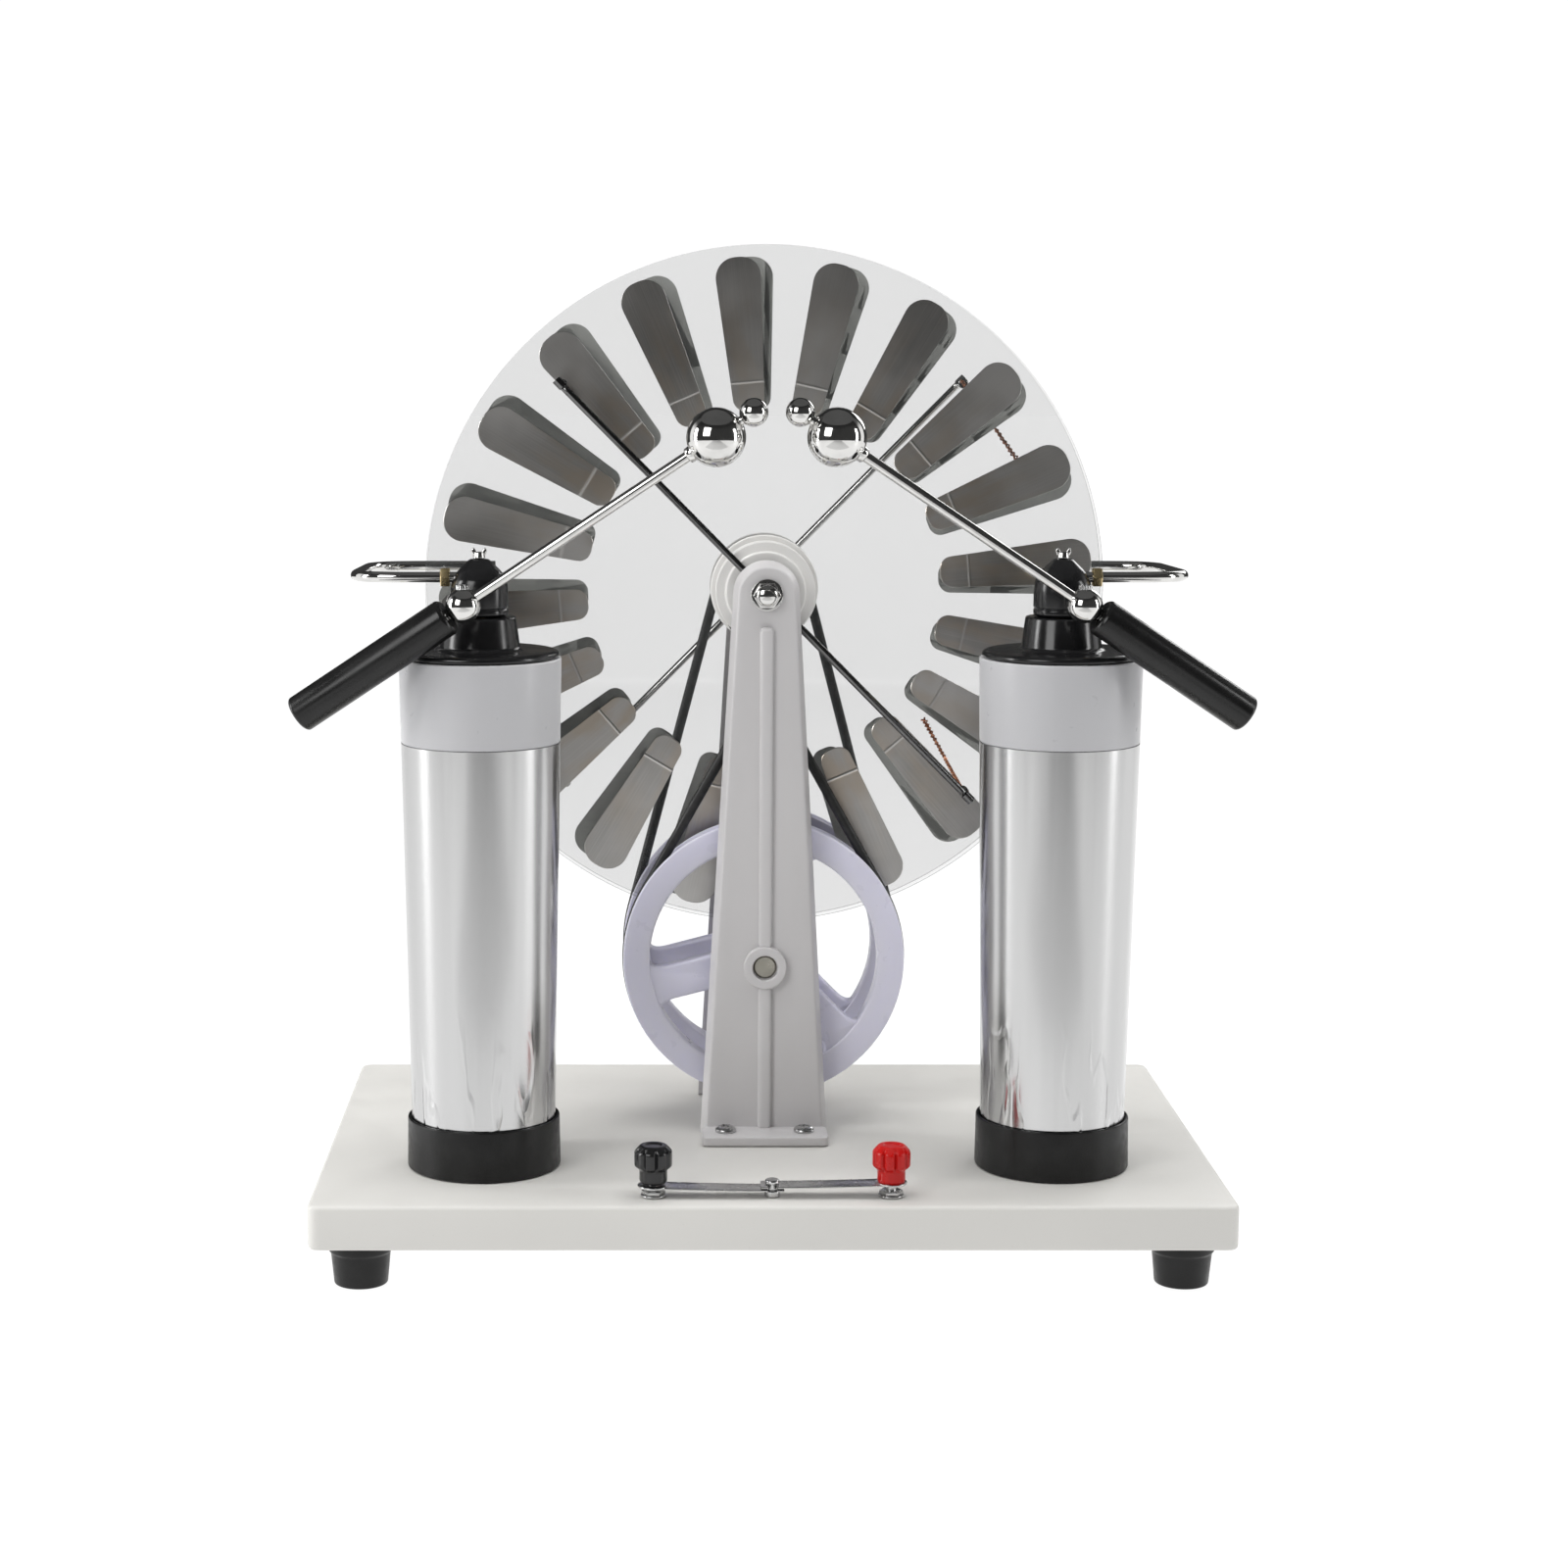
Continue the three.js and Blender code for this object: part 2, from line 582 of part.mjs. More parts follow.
// The lid plugs into the cup and carries a tapered collar that the post stands on.
function jarLid() {
  const { radius, bottom, top, plugRadius, plugDepth, collarBottom, collarTop, collarHeight } = LID;
  const bore = CONTACT.radius + GAP;
  return turnedZ([
    [bore, bottom - plugDepth], [plugRadius, bottom - plugDepth], [plugRadius, bottom],
    [radius, bottom], [radius, top], [collarBottom, top], [collarTop, top + collarHeight],
    [bore, top + collarHeight],
  ]);
}

// The jar's inner contact: a rod with a springy cross strip that reaches the inner foil.
function contactRod() {
  const { radius, topZ, bottomZ, stripLength, stripWidth, stripThickness } = CONTACT;
  return join(
    bar(vec(0, 0, bottomZ), vec(0, 0, topZ), radius),
    box(stripLength, stripWidth, stripThickness, 0, 0, bottomZ + stripThickness),
  );
}

// The directions that the pivot pin and the comb leave the post in.
function pinDirection(side) {
  const swivel = radians(DISCHARGER.swivel);
  return vec(side * Math.sin(swivel), -Math.cos(swivel), 0);
}
const outwards = (side) => vec(side, 0, 0);
const backwards = vec(0, 1, 0);
const reachAlong = (direction, distance, z) => direction.clone().multiplyScalar(distance).setZ(z);

// The insulated head of the jar, bored for the contact rod, the pivot pin, the comb, the rear
// collecting point and the wing screw.
function post(side) {
  const bored = (direction, from, z, radius) =>
    bar(reachAlong(direction, from, z), reachAlong(direction, POST_RADIUS + 5, z), radius + GAP);
  return cut(
    turnedZ([[0, POST_BOTTOM], [POST_RADIUS, POST_BOTTOM], ...POST_PROFILE, [0, POST_TOP]]),
    bar(vec(0, 0, POST_BOTTOM - 5), vec(0, 0, CONTACT.topZ + GAP), CONTACT.radius + GAP),
    bored(pinDirection(side), DISCHARGER.pinDepth - GAP, DISCHARGER.z, DISCHARGER.pinRadius),
    bored(outwards(side), COMB.root - GAP, COMB.frontZ, COMB.rodRadius),
    bored(backwards, POINT.root - GAP, POINT.z, POINT.radius),
    bar(vec(0, 0, POST_TOP - WING.stemDepth - GAP), vec(0, 0, POST_TOP + 5), WING.stemRadius + GAP, 8),
  );
}

// The hexagonal nut that locks the comb against the post.
function combNut(side) {
  const seat = POST_RADIUS + GAP;
  const onRod = (distance) => reachAlong(outwards(side), distance, COMB.frontZ);
  const hexagon = bar(onRod(seat), onRod(seat + NUT.thickness), NUT.radius, 6);
  return cut(hexagon, bar(onRod(0), onRod(seat + 9), COMB.rodRadius + GAP));
}

function wingScrew() {
  const { stemRadius, stemDepth, hubRadius, hubTopRadius, hubHeight, thickness, outline } = WING;
  const seat = POST_TOP + GAP;
  const wings = [-1, 1].map((way) => {
    const shape = new THREE.Shape(outline.map(([x, y]) => new THREE.Vector2(way * x, y)));
    return new THREE.ExtrudeGeometry(shape, { depth: thickness, bevelEnabled: false })
      .rotateX(Math.PI / 2)
      .translate(0, thickness / 2, seat);
  });
  return join(
    bar(vec(0, 0, POST_TOP - stemDepth), vec(0, 0, seat + 1), stemRadius, 8),
    bar(vec(0, 0, seat), vec(0, 0, seat + hubHeight), hubRadius, 12, hubTopRadius),
    ...wings,
  );
}

// ---------------------------------------------------------------- collector combs
// Worked out about the jar's axis. The rod leaves the post, rounds the edge of both discs in a
// flat U and comes back behind them, drooping a little.
function combCurve(side) {
  const { frontZ, rearZ, rearY, bendX, corner, endX, root } = COMB;
  const back = rearY - JAR.y;
  const x1 = side * (bendX - JAR.x);
  const x0 = side * (endX - JAR.x);
  const bend = side * corner;
  const path = new THREE.CurvePath();
  const at = (x, y) => vec(x, y, THREE.MathUtils.lerp(frontZ, rearZ, y / back));
  const line = (a, b) => path.add(new THREE.LineCurve3(a, b));
  const round = (a, c, b) => path.add(new THREE.QuadraticBezierCurve3(a, c, b));
  line(at(side * root, 0), at(x1 - bend, 0));
  round(at(x1 - bend, 0), at(x1, 0), at(x1, corner));
  line(at(x1, corner), at(x1, back - corner));
  round(at(x1, back - corner), at(x1, back), at(x1 - bend, back));
  line(at(x1 - bend, back), at(x0, back));
  return path;
}

function comb(side) {
  const { rodRadius, rearZ, rearY, pins, pinStart, pinPitch, pinRadius } = COMB;
  const tipY = DISC_Y + DISC.outer + DISC_CLEARANCE - JAR.y;
  const pieces = [bentRod(combCurve(side), rodRadius, 7, 20)];
  for (let i = 0; i < pins; i++) {
    const x = side * (pinStart + pinPitch * i - JAR.x);
    pieces.push(bar(vec(x, rearY - JAR.y, rearZ), vec(x, tipY, rearZ), pinRadius, 6, pinRadius / 3));
  }
  return join(...pieces);
}

// The straight point that faces the front disc from behind the post.
function frontPoint() {
  const tipY = DISC_Y - DISC.outer - DISC_CLEARANCE - JAR.y;
  const shoulder = vec(0, tipY - POINT.taper, POINT.z);
  return join(
    bar(vec(0, POINT.root, POINT.z), shoulder, POINT.radius, 8),
    bar(vec(0, shoulder.y - 0.5, POINT.z), vec(0, tipY, POINT.z), POINT.radius, 8, 0.3),
  );
}

function addJar(name, side) {
  const jar = new THREE.Group();
  jar.position.set(side * JAR.x, JAR.y, TOP);
  machine.add(jar);
  const innerInset = JAR.foil + GAP + JAR.wall + GAP;
  place(`${name}_jar_foot_ring`, footRing(), "rubber", jar);
  place(`${name}_outer_foil`, shell(0, JAR.foil, JAR.floor + GAP, JAR.foilTop), "foil", jar);
  place(`${name}_jar_cup`, jarCup(), "whitePlastic", jar);
  const innerFoil = shell(innerInset, JAR.foil, JAR.innerFoilBottom, JAR.innerFoilTop);
  place(`${name}_inner_foil`, innerFoil, "foil", jar);
  place(`${name}_contact_rod`, contactRod(), "brass", jar);
  place(`${name}_jar_lid`, jarLid(), "blackPlastic", jar);
  place(`${name}_post`, post(side), "blackPlastic", jar);
  place(`${name}_wing_screw`, wingScrew(), "chrome", jar);
  place(`${name}_comb`, comb(side), "chrome", jar);
  place(`${name}_comb_nut`, combNut(side), "brass", jar);
  place(`${name}_front_point`, frontPoint(), "brass", jar);
  addDischarger(name, side, jar);
}

// ---------------------------------------------------------------- spark dischargers
// Worked out along +X from the pivot ball, then tilted up, swivelled and set on its pin.
function addDischarger(name, side, jar) {
  const d = DISCHARGER;
  const pivot = new THREE.Group();
  pivot.position.copy(reachAlong(pinDirection(side), d.reach, d.z));
  pivot.rotation.z = side * radians(d.swivel) + (side > 0 ? Math.PI : 0);
  jar.add(pivot);
  const tilted = new THREE.Group();
  tilted.rotation.y = -radians(d.tilt);
  pivot.add(tilted);

  const along = (distance) => vec(distance, 0, 0);
  const rodHole = bar(along(-d.pivotRadius - 2), along(d.pivotRadius + 2), d.rodRadius + GAP);
  const pinWay = side > 0 ? -1 : 1;
  const pin = bar(vec(0, pinWay * d.pinRoot, 0), vec(0, pinWay * (d.reach - d.pinDepth), 0), d.pinRadius);
  const levelled = new THREE.Matrix4().makeRotationY(radians(d.tilt));
  const pivotBody = join(ball(vec(0, 0, 0), d.pivotRadius), pin.applyMatrix4(levelled));
  place(`${name}_pivot_ball`, cut(pivotBody, rodHole), "chrome", tilted);

  const rodEnd = d.bigAt - d.bigRadius + d.rodInBall;
  place(`${name}_discharger_rod`, bar(along(-d.rodInHandle), along(rodEnd), d.rodRadius), "chrome", tilted);

  const balls = join(
    ball(along(d.bigAt), d.bigRadius, 14, 8),
    ball(along(d.smallAt), d.smallRadius, 10, 6),
    bar(along(d.bigAt), along(d.smallAt), d.neckRadius, 10),
  );
  const socket = bar(along(d.bigAt - d.bigRadius - 3), along(rodEnd + GAP), d.rodRadius + GAP);
  place(`${name}_spark_balls`, cut(balls, socket), "chrome", tilted);

  const handle = turnedY([
    [0, d.handleEnd], [d.handleRadius - 0.8, d.handleEnd], [d.handleRadius, d.handleEnd - 0.8],
    [d.handleRadius, d.handleStart + 1], [d.handleRadius - 1, d.handleStart],
    [d.rodRadius + GAP, d.handleStart],
    [d.rodRadius + GAP, d.rodInHandle + GAP], [0, d.rodInHandle + GAP],
  ], 20).rotateZ(Math.PI / 2);
  place(`${name}_discharger_handle`, handle, "blackPlastic", tilted);
}

// ---------------------------------------------------------------- terminals and links
function terminalStud() {
  const { stemRadius, stemTop, nutRadius, nutTop } = TERMINAL;
  return turnedZ([
    [0, GAP], [nutRadius, GAP], [nutRadius, nutTop], [stemRadius, nutTop],
    [stemRadius, stemTop], [0, stemTop],
  ], 12);
}

function terminalCap() {
  const { bottom, waist, waistTop, radius, top } = CAP;
  const bore = TERMINAL.stemRadius + GAP;
  const blind = TERMINAL.stemTop + GAP;
  return turnedZ([
    [0, blind], [bore, blind], [bore, bottom], [waist - 0.6, bottom], [waist, waistTop],
    [radius, waistTop + 1.4],
    [radius, top - 1.6], [radius - 2, top], [0, top],
  ], 16);
}

// A flat strip from its eye on a terminal to a slot, open to the front, on the middle stud.
function link(side, z) {
  const { width, eye, thickness, slotHalf } = LINK;
  const reach = -side * TERMINAL.x;
  const half = width / 2;
  const length = Math.abs(reach) + half;
  const strip = box(length, width, thickness, (reach - side * half) / 2, 0, z + thickness / 2);
  const ring = bar(vec(0, 0, z), vec(0, 0, z + thickness), eye, 16);
  return cut(
    join(strip, ring),
    bar(vec(0, 0, z - 1), vec(0, 0, z + 2), TERMINAL.stemRadius + GAP),
    box(2 * slotHalf, half + 1 + slotHalf, 4, reach, (slotHalf - half - 1) / 2, z),
  );
}

function linkStud() {
  const { base, baseTop, stem, headBottom, head, top } = LINK_STUD;
  return turnedZ([
    [0, GAP], [base, GAP], [base, baseTop], [stem, baseTop], [stem, headBottom], [head, headBottom],
    [head, top - 0.5], [head - 0.6, top], [0, top],
  ], 16);
}

function addTerminals() {
  const row = new THREE.Group();
  row.position.set(0, TERMINAL.y, TOP);
  machine.add(row);
  for (const [colour, side, look] of [["black", -1, "blackPlastic"], ["red", 1, "red"]]) {
    const x = side * TERMINAL.x;
    place(`${colour}_terminal_stud`, terminalStud().translate(x, 0, 0), "steel", row);
    place(`${colour}_terminal_cap`, terminalCap().translate(x, 0, 0), look, row);
  }
  place("left_link_strip", link(-1, LINK.lowZ).translate(-TERMINAL.x, 0, 0), "steel", row);
  place("right_link_strip", link(1, LINK.highZ).translate(TERMINAL.x, 0, 0), "steel", row);
  place("link_stud", linkStud(), "steel", row);
}

addBoard();
addFrame();
addDiscs();
addDrive();
addBelts();
addNeutralisers();
addJar("left", -1);
addJar("right", 1);
addTerminals();

export default machine;
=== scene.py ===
"""Looks for a bench-top Wimshurst influence machine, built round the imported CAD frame.

Shapes are worked out in millimetres and become metres as each piece is made. X runs along the
board, Y from its front to its back and Z up, as in the frame.
"""

import json
import math
from types import SimpleNamespace as Sizes

import bmesh
import bpy
from mathutils import Matrix, Vector


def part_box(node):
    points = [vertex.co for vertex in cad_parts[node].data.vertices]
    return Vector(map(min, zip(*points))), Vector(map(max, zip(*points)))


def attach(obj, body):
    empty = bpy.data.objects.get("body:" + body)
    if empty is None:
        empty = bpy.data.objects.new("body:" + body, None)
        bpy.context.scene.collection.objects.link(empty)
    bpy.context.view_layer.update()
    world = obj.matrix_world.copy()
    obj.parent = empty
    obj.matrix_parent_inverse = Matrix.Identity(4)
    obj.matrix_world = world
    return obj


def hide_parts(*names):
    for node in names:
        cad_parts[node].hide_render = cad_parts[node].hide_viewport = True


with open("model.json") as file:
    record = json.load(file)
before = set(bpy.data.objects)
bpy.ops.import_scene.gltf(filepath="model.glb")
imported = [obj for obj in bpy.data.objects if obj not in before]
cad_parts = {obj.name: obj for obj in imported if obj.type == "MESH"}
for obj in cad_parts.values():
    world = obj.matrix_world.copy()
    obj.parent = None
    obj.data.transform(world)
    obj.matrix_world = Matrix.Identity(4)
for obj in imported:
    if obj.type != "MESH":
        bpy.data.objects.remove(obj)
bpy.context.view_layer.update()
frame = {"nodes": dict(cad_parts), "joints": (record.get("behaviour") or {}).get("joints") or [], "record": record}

# ---- what the frame says
MM = 0.001  # metres in a millimetre
GAP = 0.3  # clearance wherever two pieces touch

BODY_OF = {
    node: body
    for body, nodes in frame["record"]["behaviour"]["bodies"].items()
    for node in nodes
}


def low(node):
    """The lowest corner of a CAD node, in millimetres."""
    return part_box(node)[0] / MM


def high(node):
    """The highest corner of a CAD node, in millimetres."""
    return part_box(node)[1] / MM


def centre(node):
    return (low(node) + high(node)) / 2


def half_width(node):
    """Half of a CAD node's size along X, in millimetres."""
    return (high(node).x - low(node).x) / 2


def levels(node):
    """The bottom and top of a CAD node above the board, in millimetres."""
    return low(node).z - TOP, high(node).z - TOP


def joint(name):
    return next(j for j in frame["joints"] if j["name"] == name)


def joint_at(name):
    """A point on a joint's axis, in millimetres."""
    return Vector(joint(name)["pos_m"]) / MM


TOP = high("base_board").z  # the board's top face
AXLE = joint_at("front_disc_spin")  # on the mid-plane between the discs
SHAFT = joint_at("drive_spin")

# Most of these sizes are as in the CAD source. The pulley's groove and barrel are a little deeper,
# so that its rims hide the belt. The neutraliser's clips reach a little nearer to the disc, and
# the spokes' flare is only here. Offsets called out, and those that start or end a width, are
# measured from the discs' mid-plane towards the nearer upright.
AXLE_RADIUS = 4.0
SHAFT_RADIUS = 4.7
DISC = Sizes(inner=2.5, outer=5.0)
DISC_RADIUS = half_width("front_disc")
BELT = Sizes(radius=2.0, out=18.0, bow=2.4, root_half=1.7, mouth_half=3.1)
PULLEY = Sizes(rim=20.0, groove=15.2, cap=16.0, barrel=14.0, flange=21.8)
WHEEL = Sizes(radius=57.3, groove=53.2, inner=46.4, hub=12.0, start=13.0, end=23.0)
SPOKE = Sizes(count=3, width=14.0, depth=8.0, angle=194.6, flare=7.0)
UPRIGHT = Sizes(
    foot_half=26.0, top_radius=13.4, back=29.0, front=37.0, draft=2.2,
    wall=2.6, flange_half=25.3, flange_front=53.0, flange_height=4.0,
)
NEUTRALISER = Sizes(angle=45.3, out=26.0, rod=1.5, reach=118.6, clip=115.6, clip_out=13.0)
JAR_TAPER = 0.01743  # the jar's radius grows by this for each millimetre of height
ROD_RADIUS = 2.0
BIG_BALL = Sizes(radius=10.9, at=113.8)
SMALL_BALL = Sizes(radius=5.3, at=130.3)
PIVOT_RADIUS = 6.6


# ---- shape helpers
def round_corner(here, before, after, reach_before, reach_after, steps):
    """A curve that cuts off a corner, from so far along one of its sides to so far along the other."""
    start = here + before.normalized() * reach_before
    end = here + after.normalized() * reach_after
    shares = [k / steps for k in range(steps + 1)]
    return [start.lerp(here, t).lerp(here.lerp(end, t), t) for t in shares]


def fillet(points, radius, closed=False, steps=4):
    """A run of points with each corner rounded off, by radius or by what its sides leave room for."""
    rounded = []
    points = [Vector(point) for point in points]
    for i, here in enumerate(points):
        if not closed and i in (0, len(points) - 1):
            rounded.append(here)
            continue
        before = points[i - 1] - here
        after = points[(i + 1) % len(points)] - here
        reach = min(radius, 0.45 * before.length, 0.45 * after.length)
        rounded += round_corner(here, before, after, reach, reach, steps)
    return rounded


def arc(radius, first, last, steps, middle=(0.0, 0.0)):
    """Points on a circle, between two angles in degrees."""
    angles = [math.radians(first + (last - first) * k / steps) for k in range(steps + 1)]
    return [
        (middle[0] + radius * math.cos(a), middle[1] + radius * math.sin(a)) for a in angles
    ]


def rectangle(x0, y0, x1, y1, corner, steps=5):
    """A rectangle's outline, with its corners rounded by a radius."""
    return fillet([(x0, y0), (x1, y0), (x1, y1), (x0, y1)], corner, closed=True, steps=steps)


def hexagon(radius):
    return arc(radius, 0, 300, 5)


def circle(radius, count, middle=(0.0, 0.0)):
    return arc(radius, 0, 360 - 360 / count, count - 1, middle)


def tube(inner, outer, start, end, rounding, steps=4):
    """A ring's section as (radius, height), or a rod's where inner is 0, with rounded edges."""
    section = [(inner, start), (outer, start), (outer, end), (inner, end)]
    return fillet(section, rounding, closed=inner > 0, steps=steps)


def smooth_path(points, steps=8):
    """A Catmull-Rom curve through points."""
    points = [Vector(point) for point in points]
    ends = [2 * points[0] - points[1], *points, 2 * points[-1] - points[-2]]
    path = []
    for a, b, c, d in zip(ends, ends[1:], ends[2:], ends[3:]):
        for k in range(steps):
            t = k / steps
            path.append(
                0.5 * (2 * b + (c - a) * t + (2 * a - 5 * b + 4 * c - d) * t**2
                       + (3 * b - a - 3 * c + d) * t**3)
            )
    return [*path, points[-1]]


def join_rings(bm, rings, closed):
    """Faces between neighbouring rings of vertices. A ring of one vertex is a pole."""
    pairs = list(zip(rings, rings[1:]))
    if closed:
        pairs.append((rings[-1], rings[0]))
    for a, b in pairs:
        for k in range(max(len(a), len(b))):
            corners = [
                a[k % len(a)], a[(k + 1) % len(a)], b[(k + 1) % len(b)], b[k % len(b)],
            ]
            bm.faces.new(dict.fromkeys(corners))


def lathe(bm, profile, place=Matrix(), segments=72, ripple=None):
    """Turns (radius, height) points about the local Z axis. A profile that doesn't start on the
    axis closes on itself. A ripple changes the radius with the angle."""
    rings = []
    for radius, height in profile:
        if radius < 1e-6:
            rings.append([bm.verts.new(place @ Vector((0, 0, height)))])
            continue
        ring = []
        for k in range(segments):
            angle = 2 * math.pi * k / segments
            r = ripple(radius, angle) if ripple else radius
            spot = Vector((r * math.cos(angle), r * math.sin(angle), height))
            ring.append(bm.verts.new(place @ spot))
        rings.append(ring)
    join_rings(bm, rings, closed=profile[0][0] > 1e-6)


def skin(bm, rings, place=Matrix()):
    """A closed skin over rings that have the same number of points, with a face at each end."""
    made = [[bm.verts.new(place @ Vector(point)) for point in ring] for ring in rings]
    join_rings(bm, made, closed=False)
    bm.faces.new(made[0])
    bm.faces.new(made[-1])


def sweep(bm, path, radius, sides=16, closed=False, place=Matrix()):
    """A round rod along a path. The radius is one number, or one for each point."""
    path = [Vector(point) for point in path]
    count = len(path)
    radii = radius if isinstance(radius, list) else [radius] * count
    normal = None
    rings = []
    for i in range(count):
        before = path[i - 1] if closed else path[max(i - 1, 0)]
        after = path[(i + 1) % count] if closed else path[min(i + 1, count - 1)]
        along = (after - before).normalized()
        if closed:
            normal = Vector((0, 1, 0))
        elif normal is None:
            normal = along.orthogonal()
        normal = (normal - along * normal.dot(along)).normalized()
        side = along.cross(normal)
        ring = []
        for k in range(sides):
            angle = 2 * math.pi * k / sides
            spot = path[i] + radii[i] * (normal * math.cos(angle) + side * math.sin(angle))
            ring.append(bm.verts.new(place @ spot))
        rings.append(ring)
    join_rings(bm, rings, closed)
    if not closed:
        bm.faces.new(rings[0])
        bm.faces.new(rings[-1])


def flat_part(bm, outlines, thickness, edge, place=Matrix()):
    """A plate with rounded edges, centred on the local XY plane. The first outline of (x, y)
    points is its edge and the others are holes."""
    curve = bpy.data.curves.new("outline", "CURVE")
    curve.dimensions = "2D"
    curve.fill_mode = "BOTH"
    curve.extrude = thickness / 2 - edge
    curve.bevel_depth = edge
    curve.bevel_resolution = 2
    curve.offset = -edge
    for outline in outlines:
        spline = curve.splines.new("POLY")
        spline.points.add(len(outline) - 1)
        spline.use_cyclic_u = True
        for target, point in zip(spline.points, outline):
            target.co = (point[0], point[1], 0, 1)
    drawn = bpy.data.objects.new("outline", curve)
    mesh = bpy.data.meshes.new_from_object(drawn)
    mesh.transform(place)
    plate = bmesh.new()
    plate.from_mesh(mesh)
    bmesh.ops.remove_doubles(plate, verts=plate.verts, dist=1e-4)
    bpy.data.objects.remove(drawn)
    bpy.data.curves.remove(curve)
    bpy.data.meshes.remove(mesh)
    merge(bm, plate)


def merge(bm, other):
    """Adds another bmesh to bm and frees it."""
    mesh = bpy.data.meshes.new("merged")
    other.to_mesh(mesh)
    other.free()
    bm.from_mesh(mesh)
    bpy.data.meshes.remove(mesh)


def carve(bm, tool):
    """What is left of one closed bmesh when another is cut out of it."""
    solids = []
    for source in (bm, tool):
        bmesh.ops.recalc_face_normals(source, faces=source.faces)
        mesh = bpy.data.meshes.new("solid")
        source.to_mesh(mesh)
        source.free()
        solid = bpy.data.objects.new("solid", mesh)
        bpy.context.scene.collection.objects.link(solid)
        solids.append(solid)
    body, cutter = solids
    cut = body.modifiers.new("cut", "BOOLEAN")
    cut.object = cutter
    cut.operation = "DIFFERENCE"
    cut.solver = "EXACT"
    result = bmesh.new()
    result.from_object(body, bpy.context.evaluated_depsgraph_get())
    for solid in solids:
        mesh = solid.data
        bpy.data.objects.remove(solid)
        bpy.data.meshes.remove(mesh)
    return result


def piece(name, bm, look, body, sharp=35):
    """Makes a bmesh in millimetres into a smooth-shaded piece in metres that rides on a body."""
    bmesh.ops.recalc_face_normals(bm, faces=bm.faces)
    bm.transform(Matrix.Scale(MM, 4))
    mesh = bpy.data.meshes.new(name)
    bm.to_mesh(mesh)
    bm.free()
    mesh.polygons.foreach_set("use_smooth", [True] * len(mesh.polygons))
    mesh.set_sharp_from_angle(angle=math.radians(sharp))
    mesh.materials.append(look.material)
    made = bpy.data.objects.new(name, mesh)
    bpy.context.scene.collection.objects.link(made)
    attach(made, body)
    return made


def rebuild(node, bm, look, sharp=35):
    """A detailed piece that stands for a CAD node and rides where it does."""
    made = piece(f"{node}_detail", bm, look, BODY_OF[node], sharp)
    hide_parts(node)
    return made


def turned(node, look, profile, place, segments=72, sharp=35):
    """The same for a node that is one turned shape."""
    bm = bmesh.new()
    lathe(bm, profile, place, segments)
    return rebuild(node, bm, look, sharp)


def carry(node, look):
    """Keeps a CAD node's shape and gives it a material."""
    mesh = frame["nodes"][node].data
    mesh.materials.clear()
    mesh.materials.append(look.material)


def half(end):
    """Where a piece built facing the front goes: as it is, or turned round for the rear."""
    turn = Matrix.Rotation(math.pi if end == "rear" else 0.0, 4, "Z")
    return Matrix.Translation((0, AXLE.y, 0)) @ turn


def facing(end, height=0.0):
    """The same for a piece drawn as (x, height, out)."""
    return half(end) @ Matrix.Translation((0, 0, height)) @ Matrix.Rotation(math.pi / 2, 4, "X")


def at(x, y, z):
    return Matrix.Translation((x, y, z))


def on_board(node, height=TOP):
    """The middle of a CAD node seen from above, on the board or at another height."""
    spot = centre(node)
    return at(spot.x, spot.y, height)


def aimed(start, direction):
    """The local Z axis laid along a direction."""
    return Matrix.Translation(start) @ direction.to_track_quat("Z", "Y").to_matrix().to_4x4()


